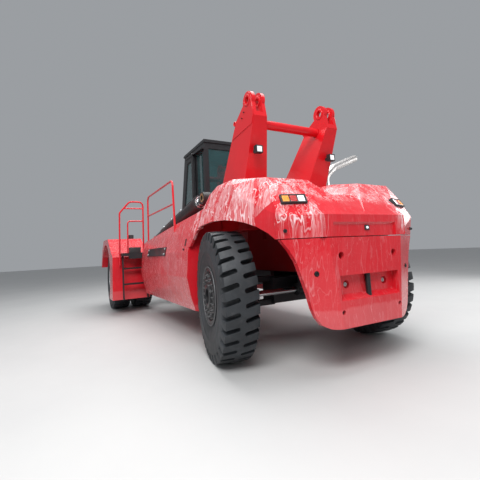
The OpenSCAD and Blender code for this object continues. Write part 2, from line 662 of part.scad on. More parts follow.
module cab_side(g) polygon([
    [cab_rear + g, cab_floor + g], [cab_front - g, cab_floor + g], [cab_front - 100 - g, 2430],
    [cab_front - 400 - g, cab_top - g], [cab_rear + g, cab_top + 20 - g]]);
door_lap = 25;
door_gap = 10;
door_t = 40;
door_x = [2420, 3140];
door_z = [cab_floor + 60, 3420];
window_z = 2560;
rear_window_half = cab_half - 90;
rear_window_top = 3460;
quarter_x = [cab_rear + 90, door_x[0] - 70];
quarter_top = 3420;
glass_t = 6;
module door_side(g) polygon([
    [door_x[0] - g, door_z[0] - g], [door_x[1] + g, door_z[0] - g], [door_x[1] - 50 + g, 2430],
    [door_x[1] - 340 + g, door_z[1] + g], [door_x[0] - g, door_z[1] + g]]);
module cab_shell() color(black) placed() {
    difference() {
        side_view(-cab_half, cab_half) cab_side(0);
        side_view(-cab_half + cab_wall, cab_half - cab_wall) cab_side(cab_wall);
        block([cab_rear - 10, -rear_window_half, window_z], [cab_rear + 100, rear_window_half, rear_window_top]);
        block([cab_rear + 200, -cab_half + 90, 2100], [cab_front + 50, cab_half - 90, 3440]);
        for (s = [0, 1]) mirror([0, s, 0]) side_view(cab_half - 100, cab_half + 10) door_side(0);
        for (s = [0, 1]) mirror([0, s, 0]) block([quarter_x[0], cab_half - 100, window_z],
            [quarter_x[1], cab_half + 10, quarter_top]);
    }
    block([cab_rear + 60, -500, deck_z + seat], [cab_front - 60, 500, cab_floor + 1]);
    both_sides() {
        block([cab_rear, cab_half - 1, door_z[1] + door_lap + seat],
            [door_x[1] - 330, cab_half + door_gap + door_t + 10, door_z[1] + door_lap + 30]);
        block([cab_rear, cab_half - 1, cab_floor], [door_x[1] + 40, cab_half + door_gap + door_t + 10,
            door_z[0] - door_lap - seat]);
    }
}
module cab_roof() color(black) placed() side_view(-cab_half - 10, cab_half + 10) polygon([
    [cab_rear - 20, cab_top + 20 + seat + 20 * 20 / 1150], [cab_front - 400, cab_top + seat], [cab_front - 380, cab_top], [cab_front - 330, cab_top + 30],
    [cab_front - 400, cab_top + 60], [cab_rear - 20, cab_top + 80]]);
module cab_glass() color([0.2, 0.32, 0.34, 0.5]) placed() {
    block([cab_rear + 20, -rear_window_half + seat, window_z + seat],
        [cab_rear + 20 + glass_t, rear_window_half - seat, rear_window_top - seat]);
    both_sides() block([quarter_x[0] + seat, cab_half - 30, window_z + seat],
        [quarter_x[1] - seat, cab_half - 30 + glass_t, quarter_top - seat]);
}
module cab_seat() color(black) placed() {
    block([2250, -230, 2330], [2750, 230, 2450]);
    block([2150, -230, 2340], [2260, 230, 3050]);
    block([2350, -120, cab_floor + cab_wall + seat], [2650, 120, 2331]);
}
module cab_console() color(black) placed() {
    block([3040, -60, cab_floor + cab_wall + seat], [3160, 60, 2400]);
    translate([3100, 0, 2390]) rotate([0, -25, 0]) {
        cylinder(d = 50, h = 240);
        translate([0, 0, 230]) rotate_extrude() translate([180, 0]) circle(15, $fn = 16);
        for (a = [0, 120, 240]) rotate([0, 90, a]) translate([-230, 0, 0]) cylinder(d = 20, h = 180);
    }
}
module door() difference() {
    side_view(cab_half + door_gap, cab_half + door_gap + door_t) door_side(door_lap);
    side_view(cab_half, cab_half + 100) offset(delta = -95) door_side(door_lap);
}
module left_door() color(black) placed() door();
module right_door() mirror([0, 1, 0]) left_door();

// Exhaust and lamps

module exhaust() color([0.75, 0.75, 0.78]) placed() difference() {
    tube(rounded([[300, -920, hump_top_z + 0.5 + seat], [300, -920, 2620], [300, -1130, 2800],
        [300, -1690, 3020]], 130, 4), 130, 20);
    tube([[300, -1500, 2944], [300, -1790, 3060]], 116, 20);
}
work_lamp_z = 2830;
function post_rear_x(z) = post_foot_x[0] + 60 + (-200 - post_foot_x[0] - 60) * (z - post_foot_z) / (3300 - post_foot_z);
module work_lamps() color(black) placed() both_sides() {
    x = post_rear_x(work_lamp_z) - 60;
    block([x - 70, 635, work_lamp_z - 55], [x, 745, work_lamp_z + 55]);
    side_view(660, 720) polygon([[x - 1, work_lamp_z - 20], [post_rear_x(work_lamp_z - 20) - seat, work_lamp_z - 20],
        [post_rear_x(work_lamp_z + 20) - seat, work_lamp_z + 20], [x - 1, work_lamp_z + 20]]);
}
module tail_lamp(g) translate([-1052, 890, 1938]) rotate([0, 0, -19.6]) rotate([0, 33.6, 0])
    block([-14 - g, -134 - g, -56 - g], [50 + g, 134 + g, 56 + g]);
module tail_lamps() color([0.9, 0.4, 0.1]) placed() both_sides() tail_lamp(0);
module front_lamps() color(steel) placed() both_sides()
    translate([wheelbase + 300, 1300, 1890 + seat]) cylinder(d = 160, h = 150);

// Lift cylinders, drawn from the base pin with the rod towards -X

base_pin_d = 90;
lug_in = 60;
module lift_brackets() color(red) placed() both_sides() translate([lift_base_x, lift_y, 0]) {
    for (y = [-lug_in - 35, lug_in + 1]) difference() {
        side_view(y, y + 34) polygon([[-130, rail_top + seat], [110, rail_top + seat], [90, lift_base_z + 60],
            [40, lift_base_z + 110], [-40, lift_base_z + 110], [-90, lift_base_z + 60]]);
        translate([0, 0, lift_base_z]) y_rod(base_pin_d, y - 10, y + 60);
    }
}
barrel_len = lift_closed - 230;
barrel_foot = 150;
module barrel() difference() {
    union() {
        y_rod(190, -lug_in + 1, lug_in - 1);
        y_rod(base_pin_d - 2 * fit, -lug_in - 34, lug_in + 34);
        block([-barrel_foot - 10, -lug_in + 1, -70], [0, lug_in - 1, 70]);
        x_rod(barrel_d, -barrel_len, -barrel_foot);
        x_rod(barrel_d + 26, -barrel_len, -barrel_len + 160);
    }
    x_rod(barrel_d - 50, -barrel_len + 120, -barrel_foot - 80);
    x_rod(rod_d + 2 * fit, -barrel_len - 50, -barrel_len + 200);
}
module lift_rod() difference() {
    union() {
        x_rod(rod_d, -lift_closed + 60, -400);
        translate([-lift_closed, 0, 0]) y_rod(210, -70, 70);
    }
    translate([-lift_closed, 0, 0]) y_rod(lift_bore, -100, 100);
}
module lift_place() placed() translate([lift_base_x, lift_y, lift_base_z]) rotate([0, lift_rest, 0]) children();
module left_lift_barrel() color(black) lift_place() barrel();
module left_lift_rod() color(black) lift_place() lift_rod();
module right_lift_barrel() mirror([0, 1, 0]) left_lift_barrel();
module right_lift_rod() mirror([0, 1, 0]) left_lift_rod();

chassis();
boom_posts();
cross_tube();
front_axle();
steer_axle();
engine();
driveline();
counterweight();
rear_cover();
side_bodies();
front_fenders();
ladders();
platforms();
rear_rails();
front_rails();
deck();
engine_bonnet();
cab_shell();
cab_roof();
cab_glass();
cab_seat();
cab_console();
left_door();
right_door();
exhaust();
work_lamps();
tail_lamps();
tow_pin();
front_lamps();
lift_brackets();
left_lift_barrel();
right_lift_barrel();
left_lift_rod();
right_lift_rod();
left_knuckle();
right_knuckle();
steer_rod();
left_rear_tyre();
left_rear_rim();
right_rear_tyre();
right_rear_rim();
left_front_tyres();
left_front_rims();
right_front_tyres();
right_front_rims();
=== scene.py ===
"""Finishes and small pieces of a container reach stacker without its boom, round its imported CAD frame."""

import json
import math
from contextlib import contextmanager

import bmesh
import bpy
from bpy.props import FloatProperty, FloatVectorProperty, IntProperty, PointerProperty
from mathutils import Matrix, Vector


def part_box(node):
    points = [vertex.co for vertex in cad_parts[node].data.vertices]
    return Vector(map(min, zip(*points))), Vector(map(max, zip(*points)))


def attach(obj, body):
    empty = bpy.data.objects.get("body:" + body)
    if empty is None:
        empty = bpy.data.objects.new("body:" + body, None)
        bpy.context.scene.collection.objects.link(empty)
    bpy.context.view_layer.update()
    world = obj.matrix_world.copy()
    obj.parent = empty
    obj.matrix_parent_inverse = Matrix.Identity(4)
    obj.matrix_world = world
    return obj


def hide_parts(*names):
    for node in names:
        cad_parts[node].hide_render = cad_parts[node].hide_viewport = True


bl_info = {
    "name": "Reach stacker finishes",
    "version": (1, 0, 0),
    "blender": (4, 5, 0),
    "location": "3D View > Sidebar > Reach stacker",
    "description": "Adds the finishes, tyres and small pieces of a container reach stacker",
    "category": "Object",
}

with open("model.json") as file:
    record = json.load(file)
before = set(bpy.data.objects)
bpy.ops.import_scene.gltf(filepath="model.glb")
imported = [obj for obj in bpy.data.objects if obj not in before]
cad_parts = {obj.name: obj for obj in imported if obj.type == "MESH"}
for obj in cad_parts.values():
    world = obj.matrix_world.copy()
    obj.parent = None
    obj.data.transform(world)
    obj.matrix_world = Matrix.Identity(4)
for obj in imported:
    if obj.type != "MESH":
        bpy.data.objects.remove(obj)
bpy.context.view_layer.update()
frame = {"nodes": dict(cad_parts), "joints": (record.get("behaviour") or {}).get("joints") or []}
JOINTS = {joint["name"]: joint for joint in frame["joints"]}
REAR_AXLE = Vector(JOINTS["left_steer"]["pos_m"])
REAR_X = REAR_AXLE.x
TYRE_R = REAR_AXLE.z
AHEAD = Vector((1, 0, 0))
LEFT = Vector((0, 1, 0))
UP = Vector((0, 0, 1))
MIRROR = Matrix.Scale(-1, 4, LEFT)


# Values that a user would change


class StackerPaint(bpy.types.PropertyGroup):
    """Colours of the paints and films"""

    red: FloatVectorProperty(
        name="Red enamel", description="Colour of the bare red paint", subtype="COLOR",
        default=(0.6, 0.006, 0.012),
    )
    film_red: FloatVectorProperty(
        name="Red under film", description="Colour of the paint seen through film", subtype="COLOR",
        default=(0.62, 0.014, 0.024),
    )
    film_white: FloatVectorProperty(
        name="Film folds", description="Colour of the folds of the film", subtype="COLOR",
        default=(0.9, 0.68, 0.7),
    )
    black: FloatVectorProperty(
        name="Black paint", description="Colour of the black parts", subtype="COLOR",
        default=(0.012, 0.012, 0.014),
    )
    rubber: FloatVectorProperty(
        name="Rubber", description="Colour of the tyres", subtype="COLOR", default=(0.02, 0.023, 0.027)
    )


class StackerWheels(bpy.types.PropertyGroup):
    """Sizes of the tread and the number of nuts"""

    tyre_width: FloatProperty(
        name="Tyre width", description="Width of every tyre", default=0.44, unit="LENGTH"
    )
    slots: IntProperty(
        name="Slots", description="Slots round each shoulder of a tyre", default=32, min=8, max=48
    )
    slot_width: FloatProperty(
        name="Slot width", description="Width of a slot along the tread", default=0.058, unit="LENGTH"
    )
    slot_depth: FloatProperty(
        name="Slot depth", description="Depth of a slot at its inner end", default=0.06, unit="LENGTH"
    )
    slot_slant: FloatProperty(
        name="Slot slant", description="Turn of the slots from the wheel's axis", default=math.radians(-14),
        subtype="ANGLE",
    )
    nuts: IntProperty(name="Wheel nuts", description="Nuts on each wheel", default=20, min=8, max=32)


class StackerStage(bpy.types.PropertyGroup):
    """Camera and light"""

    eye: FloatVectorProperty(
        name="Camera", description="Place of the camera", subtype="TRANSLATION",
        default=(-6.87513, 3.18878, 1.39531),
    )
    turn: FloatVectorProperty(
        name="Camera angles", description="Turn to the right, tilt upwards, and roll", subtype="EULER",
        default=(0.49957, 0.111139, -0.0506248), precision=5,
    )
    lens: FloatProperty(
        name="Lens", description="Focal length on a 36 mm frame", default=25.052, unit="CAMERA"
    )
    shift: FloatProperty(name="Shift", description="Downward shift of the frame", default=-0.0542)
    key: FloatProperty(
        name="Key light", description="Power of the light behind the camera", default=1050, unit="POWER"
    )


# Modelling by hand


def choose(*pieces):
    """Selects only these pieces, the first of them active."""
    if bpy.context.mode != "OBJECT":
        bpy.ops.object.mode_set(mode="OBJECT")
    bpy.ops.object.select_all(action="DESELECT")
    for piece in pieces:
        piece.select_set(True)
    if pieces:
        bpy.context.view_layer.objects.active = pieces[0]


def settle(piece):
    """Puts the piece's place, turn and size in its mesh."""
    choose(piece)
    bpy.ops.object.transform_apply(location=True, rotation=True, scale=True)
    return piece


def add_rod(radius, length, at=(0, 0, 0), axis=UP, corners=32):
    choose()
    turn = UP.rotation_difference(axis).to_euler()
    bpy.ops.mesh.primitive_cylinder_add(
        vertices=corners, radius=radius, depth=length, location=at, rotation=turn
    )
    return settle(bpy.context.object)


def add_block(low, high):
    choose()
    low, high = Vector(low), Vector(high)
    bpy.ops.mesh.primitive_cube_add(size=1, location=(low + high) / 2, scale=high - low)
    return settle(bpy.context.object)


def add_outline(points, fill="NOTHING"):
    """A closed line through the points, or the face within it."""
    choose()
    bpy.ops.mesh.primitive_circle_add(vertices=len(points), radius=1, fill_type=fill)
    piece = bpy.context.object
    for corner, point in zip(piece.data.vertices, points):
        corner.co = point
    return piece


@contextmanager
def edit(piece, test=None, kind="FACE"):
    """Edit mode, with the faces or edges selected whose middle and direction pass the test."""
    choose(piece)
    bpy.ops.object.mode_set(mode="EDIT")
    bpy.ops.mesh.select_mode(type=kind)
    bpy.ops.mesh.select_all(action="SELECT" if test is None else "DESELECT")
    if test is not None:
        mesh = bmesh.from_edit_mesh(piece.data)
        mesh.normal_update()
        if kind == "FACE":
            parts = [(face, face.calc_center_median(), face.normal) for face in mesh.faces]
        else:
            ends = [(line, line.verts[0].co, line.verts[1].co) for line in mesh.edges]
            parts = [(line, (start + end) / 2, end - start) for line, start, end in ends]
        for part, middle, direction in parts:
            part.select_set(bool(test(middle, direction)))
        bmesh.update_edit_mesh(piece.data)
    yield
    bpy.ops.object.mode_set(mode="OBJECT")


def push(offset):
    """Extrudes the selection by an offset."""
    bpy.ops.mesh.extrude_region_move(TRANSFORM_OT_translate={"value": tuple(offset)})


def stepped(piece, out, *steps):
    """Insets the faces that look outwards and pushes them outwards, once for each step."""
    with edit(piece, lambda middle, normal: normal.dot(out) > 0.9):
        for inset, rise in steps:
            bpy.ops.mesh.inset(thickness=inset)
            push(out * rise)
    return piece


def clean():
    """In edit mode: merges doubles and turns all faces outwards."""
    bpy.ops.mesh.select_all(action="SELECT")
    bpy.ops.mesh.remove_doubles(threshold=1e-5)
    bpy.ops.mesh.normals_make_consistent(inside=False)


def apply_modifier(piece, kind, **settings):
    choose(piece)
    modifier = piece.modifiers.new(kind.lower(), kind)
    for key, value in settings.items():
        setattr(modifier, key, value)
    bpy.ops.object.modifier_apply(modifier=modifier.name)
    return piece


def round_edges(piece, width, segments=2, angle=35):
    return apply_modifier(
        piece, "BEVEL", width=width, segments=segments, limit_method="ANGLE",
        angle_limit=math.radians(angle), harden_normals=False,
    )


def cut_away(piece, cutter):
    """Cuts the cutter's shape out of the piece, and removes the cutter."""
    apply_modifier(piece, "BOOLEAN", operation="DIFFERENCE", object=cutter, solver="EXACT")
    drop(cutter)


def copy_of(piece, placing):
    """A copy with its own mesh, moved by a matrix."""
    twin = piece.copy()
    twin.data = piece.data.copy()
    bpy.context.scene.collection.objects.link(twin)
    twin.data.transform(placing)
    if placing.determinant() < 0:
        twin.data.flip_normals()
    return twin


def join(pieces):
    choose(*pieces)
    if len(pieces) > 1:
        bpy.ops.object.join()
    return bpy.context.object


def drop(piece):
    bpy.data.objects.remove(piece, do_unlink=True)


def copies(piece, placings):
    """Joined copies of a piece, one at each placing, in the piece's stead."""
    pieces = [copy_of(piece, placing) for placing in placings]
    drop(piece)
    return join(pieces)


def ring_of(piece, count, start=0.0):
    """Joined copies of a piece in a ring about the Y axis."""
    return copies(piece, [Matrix.Rotation(start + math.tau * i / count, 4, "Y") for i in range(count)])


def spun(section, steps=96):
    """A closed section, given as radius and Y, spun about the Y axis."""
    piece = add_outline([(radius, y, 0) for radius, y in section])
    with edit(piece):
        bpy.ops.mesh.spin(steps=steps, angle=math.tau, center=(0, 0, 0), axis=LEFT)
        clean()
    return piece


def prism(outline, start, depth):
    """An outline, given as X from the rear axle and Z, drawn out along Y."""
    piece = add_outline([(REAR_X + x, start, z) for x, z in outline], "NGON")
    with edit(piece):
        push((0, depth, 0))
        clean()
    return piece


def arc(centre, radius, start, end, steps=10):
    """Points of an arc, angles in degrees."""
    angles = [math.radians(start + (end - start) * i / steps) for i in range(steps + 1)]
    return [(centre[0] + radius * math.cos(a), centre[1] + radius * math.sin(a)) for a in angles]


def pipe(points, radius):
    """A bent pipe along a path of five points or more, the fewest that a new path has."""
    choose()
    bpy.ops.curve.primitive_nurbs_path_add()
    curve = bpy.context.object
    spline = curve.data.splines[0]
    spline.points.add(len(points) - len(spline.points))
    for point, place in zip(spline.points, points):
        point.co = (*place, 1)
    spline.use_endpoint_u = True
    spline.order_u = 3
    spline.resolution_u = 6
    curve.data.bevel_depth = radius
    curve.data.bevel_resolution = 4
    curve.data.use_fill_caps = True
    bpy.ops.object.convert(target="MESH")
    return bpy.context.object


def placed(at, out):
    """A placing whose Z points outwards, and whose X runs to the right for someone who looks at it."""
    out = Vector(out).normalized()
    across = UP.cross(out).normalized()
    turned = Matrix((across, out.cross(across), out)).transposed().to_4x4()
    return Matrix.Translation(Vector(at)) @ turned


def finished(piece, name, body, finish, smooth=30):
    """Cleans the piece, and gives it its name, finish and body."""
    settle(piece)
    with edit(piece):
        clean()
    bpy.ops.object.shade_smooth_by_angle(angle=math.radians(smooth))
    piece.name = name
    piece.data.name = name
    piece.data.materials.clear()
    piece.data.materials.append(FINISHES[finish])
    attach(piece, body)
    return piece


def on_both_sides(piece, name, finish, placing=Matrix.Identity(4), part=None, smooth=30):
    """Puts a piece in its place on the left and a mirrored copy on the right, riding on that side's part."""
    piece.data.transform(placing)
    twin = copy_of(piece, MIRROR)
    for side, made in (("left", piece), ("right", twin)):
        body = f"{side}_{part}" if part else "machine"
        finished(made, f"{side}_{name}", body, finish, smooth)


# Shader maths


class Number:
    """A number in a node tree. Arithmetic on it adds Math nodes."""

    def __init__(self, tree, socket):
        self.tree = tree
        self.socket = socket

    def worked(self, operation, *terms):
        """A Math node on the given terms, or on this number alone."""
        node = self.tree.nodes.new("ShaderNodeMath")
        node.operation = operation
        for place, term in zip(node.inputs, terms or (self,)):
            feed(self.tree, place, term)
        return Number(self.tree, node.outputs[0])

    def __add__(self, other):
        return self.worked("ADD", self, other)

    def __radd__(self, other):
        return self.worked("ADD", other, self)

    def __sub__(self, other):
        return self.worked("SUBTRACT", self, other)

    def __rsub__(self, other):
        return self.worked("SUBTRACT", other, self)

    def __mul__(self, other):
        return self.worked("MULTIPLY", self, other)

    def __rmul__(self, other):
        return self.worked("MULTIPLY", other, self)

    def __abs__(self):
        return self.worked("ABSOLUTE")

    def sine(self):
        return self.worked("SINE")

    def root(self):
        return self.worked("SQRT")

    def lower_of(self, other):
        return self.worked("MINIMUM", self, other)

    def higher_of(self, other):
        return self.worked("MAXIMUM", self, other)


def feed(tree, place, value):
    """Links a socket, or sets its own value."""
    if isinstance(value, Number):
        value = value.socket
    if isinstance(value, bpy.types.NodeSocket):
        tree.links.new(value, place)
    elif hasattr(place.default_value, "__len__") and len(place.default_value) == 4 and len(value) == 3:
        place.default_value = (*value, 1)
    else:
        place.default_value = value


class Finish:
    """A material while it is made."""

    def __init__(self, name, **constants):
        self.material = bpy.data.materials.new(name)
        self.material.use_nodes = True
        self.tree = self.material.node_tree
        self.shader = self.tree.nodes["Principled BSDF"]
        self.place = self.node("ShaderNodeTexCoord").outputs["Object"]
        self.set(**constants)

    def node(self, kind, settings=None, **sockets):
        """A node of any type: its settings first, then the values or links of its sockets."""
        node = self.tree.nodes.new(kind)
        for key, value in (settings or {}).items():
            setattr(node, key, value)
        for key, value in sockets.items():
            feed(self.tree, node.inputs[key.replace("_", " ")], value)
        return node

    def set(self, **sockets):
        """Sets or links sockets of the shader."""
        for key, value in sockets.items():
            feed(self.tree, self.shader.inputs[key.replace("_", " ")], value)

    def noise(self, scale, detail=4, roughness=0.55, distortion=0.0, vector=None):
        made = self.node(
            "ShaderNodeTexNoise", Vector=vector or self.place, Scale=scale, Detail=detail,
            Roughness=roughness, Distortion=distortion,
        )
        return Number(self.tree, made.outputs["Fac"])

    def streaks(self, scales, detail=3, roughness=0.6, distortion=0.0, turn=(0, 0, 0), vector=None):
        """A noise drawn out along the axes of small scale."""
        turned = self.node(
            "ShaderNodeMapping", Vector=vector or self.place, Scale=scales, Rotation=turn
        ).outputs["Vector"]
        return self.noise(1.0, detail, roughness, distortion, turned)

    def step(self, value, low, high, floor=0.0, top=1.0):
        """Rises smoothly from floor to top as the value goes from low to high."""
        made = self.node("ShaderNodeMapRange", {"interpolation_type": "SMOOTHSTEP"}, Value=value)
        for key, number in (("From Min", low), ("From Max", high), ("To Min", floor), ("To Max", top)):
            made.inputs[key].default_value = number
        return Number(self.tree, made.outputs["Result"])

    def ridge(self, value, width):
        """Lines along which a noise crosses its middle value."""
        return 1 - self.step(abs(value - 0.5), 0.0, width)

    def axes(self, vector=None):
        """The three parts of the place, or of another vector."""
        made = self.node("ShaderNodeSeparateXYZ", Vector=vector or self.place)
        return [Number(self.tree, made.outputs[key]) for key in "XYZ"]

    def facing(self):
        """The three parts of the surface's normal, in the object's own axes."""
        return self.axes(self.node("ShaderNodeTexCoord").outputs["Normal"])

    def mix(self, share, first, second):
        made = self.node("ShaderNodeMix", {"data_type": "RGBA"})
        for place, value in ((0, share), (6, first), (7, second)):
            feed(self.tree, made.inputs[place], value)
        return made.outputs[2]

    def clouded(self, colour, low, high, cloud):
        """A colour that a cloud makes darker and lighter."""
        return self.mix(cloud, shade(colour, low), shade(colour, high))

    def warped(self, scale, amount):
        """The place, pushed about by a soft noise."""
        soft = self.node("ShaderNodeTexNoise", Vector=self.place, Scale=scale, Detail=2.0)
        push_by = self.node("ShaderNodeVectorMath", {"operation": "SCALE"}, Scale=amount)
        feed(self.tree, push_by.inputs[0], soft.outputs["Color"])
        total = self.node("ShaderNodeVectorMath", {"operation": "ADD"})
        feed(self.tree, total.inputs[0], self.place)
        feed(self.tree, total.inputs[1], push_by.outputs[0])
        return total.outputs[0]

    def done(self, colour, roughness, relief=None, strength=1.0, depth=0.0, **others):
        """Links the colour, the roughness and a relief of this strength and depth; gives the material."""
        self.set(Base_Color=colour, Roughness=roughness, **others)
        if relief is not None:
            bump = self.node("ShaderNodeBump", Height=relief, Strength=strength, Distance=depth)
            self.set(Normal=bump.outputs["Normal"])
        return self.material


def shade(colour, factor):
    return tuple(min(1.0, part * factor) for part in colour)


# Paint and film

# The bare patch below the outer end of each tail lamp: its upper corner as X and Z, slope, and reach in X
PATCH_X, PATCH_Z = -3.648, 1.798
PATCH_SLOPE = -0.644
PATCH_REACH = (-3.87, -3.6)
# Height at which the chassis changes from black, painted shade under the machine, to red
CHASSIS_LINE = 1.1
# A height below everything, for film without a milky hem
NO_HEM = -1.0


def red_enamel(paint):
    """Glossy red enamel with the faint ripple of a sprayed coat."""
    made = Finish("red_enamel", Coat_Weight=0.3, Coat_Roughness=0.04, Specular_IOR_Level=0.35)
    dust = made.step(made.noise(6, 6), 0.6, 0.85) * 0.05
    body = made.clouded(paint.red, 0.88, 1.1, made.noise(1.6, 3))
    relief = made.noise(260, 1) * 0.3 + made.noise(14, 3)
    return made.done(
        made.mix(dust, body, (0.5, 0.3, 0.28)), 0.24 + made.noise(9, 4) * 0.14, relief, 0.06, 0.01
    )


def filmed_red(paint, name, density, hem, lines, haze, sheets, crumple):
    """Red paint under clear film: thin white folds, hazy bands between them with small painted glints of
    light, sheets with sharp edges, small crumples, and a milky hem below a height. The density is a function
    that says where the film lies."""
    made = Finish(name, Coat_Weight=0.3, Coat_Roughness=0.1, Specular_IOR_Level=0.35)
    height = made.axes()[2]
    bent = made.warped(1.1, 0.25)
    hanging = made.streaks((8, 8, 1.1), 2.2, 0.5, 0.12, (0.1, 0.06, 0), bent)
    slanted = made.streaks((12, 12, 1.4), 2, 0.5, 0.15, (0.5, 0.35, 0.3), bent)
    fibres = made.streaks((34, 34, 3.2), 3, 0.6, 0.1, (0.16, 0.1, 0), bent)
    flecks = made.streaks((10, 10, 4), 2, 0.5, 0.3, (0.2, 0.1, 0), bent)
    small = made.noise(9, 3, 0.55, 1.0, made.warped(2, 0.3))
    lies = density(made)
    folds = made.ridge(hanging, 0.016).higher_of(made.ridge(slanted, 0.011) * 0.75)
    bands = made.step(hanging, 0.53, 0.54) * 0.26 + made.step(slanted, 0.55, 0.56) * 0.2
    bands = bands * made.step(fibres, 0.38, 0.62, 0.35, 1.5) + made.step(fibres, 0.6, 0.65) * 0.2
    # Glints: small painted highlights of light on the film.
    glints = made.step(flecks, 0.68, 0.72)
    overlap = made.step(made.noise(0.9, 2, 0.5, 0.6), 0.5, 0.508)
    share = folds * lines + (bands + glints * 0.5) * haze + overlap * sheets
    share = share + made.ridge(small, 0.02) * crumple
    milk = (share * lies + made.step(height + hanging * 0.08, hem, hem + 0.03, 0.07, 0.0)).lower_of(0.9)
    base = made.clouded(paint.film_red, 0.85, 1.12, made.noise(2.2, 3))
    rough = 0.2 + milk * 0.2 + made.noise(7, 3) * 0.08
    relief = hanging * 0.7 + slanted * 0.4 + fibres * 0.2 + small * 0.2 + overlap * 0.04
    return made.done(made.mix(milk, base, paint.film_white), rough, relief * lies, 0.45, 0.025)


def film_on_cover(made):
    """Heavy on the humps and along the top, where it is also painted highlight; light in the middle; none on
    the bare patches.
    """
    x, y, z = made.axes()
    wander = made.noise(2.5, 2) * 0.25
    humps = made.step(abs(y) + wander, 0.66, 0.82, 0.0, 1.0)
    # Along the top the milk is partly film and partly a painted highlight.
    top = made.step(z + wander, 2.02, 2.14, 0.05, 0.62)
    below = (x - PATCH_X) * PATCH_SLOPE + (PATCH_Z - z)
    between = below.lower_of(x - PATCH_REACH[0]).lower_of(PATCH_REACH[1] - x)
    inside = between + (wander - 0.125) * 0.2
    low = made.step(z + wander, 1.68, 1.8, 0.4, 1.0) * made.step(y, -0.95, -0.75, 0.3, 1.0)
    return (humps * low).higher_of(top) * made.step(inside, 0.0, 0.006, 1.0, 0.03)


def film_on_ballast(made):
    """Thin all over, thicker towards the corners."""
    y = made.axes()[1]
    return made.step(abs(y) + made.noise(2, 3) * 0.3, 0.85, 1.0, 0.5, 1.0)


def film_on_sides(made):
    """On the outer faces and the top, and none on the walls that face the wheels."""
    return made.step(abs(made.facing()[0]), 0.75, 0.8, 1.0, 0.05)


def chassis_paint_and_shade(paint):
    """Red darkened by painted shade above the axles, and black below them as painted shade under the
    machine, with shop dust.
    """
    made = Finish("chassis_paint_and_shade", Coat_Weight=0.15)
    height = made.axes()[2] + made.noise(3, 2) * 0.02
    upper = made.step(height, CHASSIS_LINE - 0.01, CHASSIS_LINE + 0.01)
    dust = made.step(made.noise(5, 6), 0.5, 0.8) * 0.2
    # The frame is the body's red; its darkening to 0.42 and the black below the line are painted shade.
    body = made.mix(upper, paint.black, shade(paint.red, 0.42))
    rough = 0.36 + made.noise(11, 4) * 0.25
    return made.done(made.mix(dust, body, (0.12, 0.1, 0.1)), rough, made.noise(60, 3), 0.15, 0.004)


def black_paint(paint):
    """Satin black paint with shop dust."""
    made = Finish("black_paint", Coat_Weight=0.1, Specular_IOR_Level=0.35)
    dust = made.step(made.noise(7, 6), 0.5, 0.85) * 0.12
    body = made.clouded(paint.black, 0.6, 1.4, made.noise(3, 3))
    rough = 0.34 + made.noise(16, 4) * 0.22
    return made.done(made.mix(dust, body, (0.09, 0.09, 0.09)), rough, made.noise(110, 3), 0.12, 0.003)


def tread_plate(paint):
    """Black plate with raised lozenges on its upper faces."""
    made = Finish("tread_plate", Coat_Weight=0.1, Specular_IOR_Level=0.35)
    x, y, _ = made.axes()
    upper = made.step(made.facing()[2], 0.85, 0.95)
    raised = made.step((x * 95 + y * 55).sine() * (x * 95 - y * 55).sine(), 0.45, 0.6) * upper
    worn = raised * made.step(made.noise(5, 5), 0.4, 0.75)
    body = made.clouded(paint.black, 0.7, 1.6, made.noise(3, 3))
    rough = 0.5 - worn * 0.2 + made.noise(16, 4) * 0.1
    return made.done(made.mix(worn, body, (0.1, 0.1, 0.1)), rough, raised, 0.6, 0.003)


# Rubber, metal, glass, plastic and cloth

CHROME = (0.56, 0.56, 0.58)
# Scales of the fine marks round a ground or turned piece
GROUND_MARKS = (120, 25, 120)


def rubber(paint):
    """New tyre rubber: blue-grey bloom on the tread, dust in streaks, fine mould grain."""
    made = Finish("tyre_rubber")
    bloom = made.step(made.noise(2.3, 5), 0.35, 0.72)
    dust = made.step(made.streaks((9, 9, 9), 6), 0.5, 0.78) * 0.35
    tinted = made.clouded(paint.rubber, 0.7, 1.55, bloom)
    relief = made.noise(210, 2) * 0.6 + made.noise(34, 4)
    return made.done(
        made.mix(dust, tinted, (0.075, 0.075, 0.078)), 0.5 + made.noise(12, 4) * 0.22, relief, 0.22, 0.003
    )


def plated_steel(name, colour, rough):
    """Ground metal with fine marks round it and a cloudy sheen."""
    made = Finish(name, Metallic=1.0)
    marks = made.streaks(GROUND_MARKS)
    cloud = made.noise(3, 3)
    rough = rough + marks * 0.08 + cloud * 0.06
    return made.done(made.clouded(colour, 0.88, 1.06, cloud), rough, marks, 0.02, 0.0005)


def plated_rod():
    """Plated steel, painted black round the eye at the rod's end."""
    made = Finish("plated_rod")
    x, _, z = made.axes()
    eye = lift_place() @ Vector((ROD_EYE, 0, 0))
    away = ((x - eye.x) * (x - eye.x) + (z - eye.z) * (z - eye.z)).root()
    steel = made.step(away, 0.15, 0.152)
    black = made.mix(made.noise(9, 5), (0.012, 0.012, 0.014), (0.035, 0.034, 0.034))
    marks = made.streaks(GROUND_MARKS)
    rough = made.step(steel, 0, 1, 0.4, 0.14) + marks * 0.1
    return made.done(made.mix(steel, black, CHROME), rough, marks, 0.02, 0.0005, Metallic=steel)


def grained(name, cloud, colours, grain, rough, relief, **constants):
    """Two colours mixed by a cloud, under a fine grain that also roughens and lifts the surface. The cloud
    and the grain are given as scale and detail."""
    made = Finish(name, **constants)
    grain = made.noise(*grain)
    return made.done(made.mix(made.noise(*cloud), *colours), rough[0] + grain * rough[1], grain, *relief)


def tinted_glass():
    """Dark teal glass, clouded here and there by dust."""
    made = Finish("tinted_glass", Transmission_Weight=0.75, IOR=1.5, Coat_Weight=0.4)
    smear = made.step(made.noise(3, 5), 0.45, 0.8)
    return made.done(made.mix(smear, (0.05, 0.16, 0.17), (0.1, 0.24, 0.25)), 0.02 + smear * 0.08)


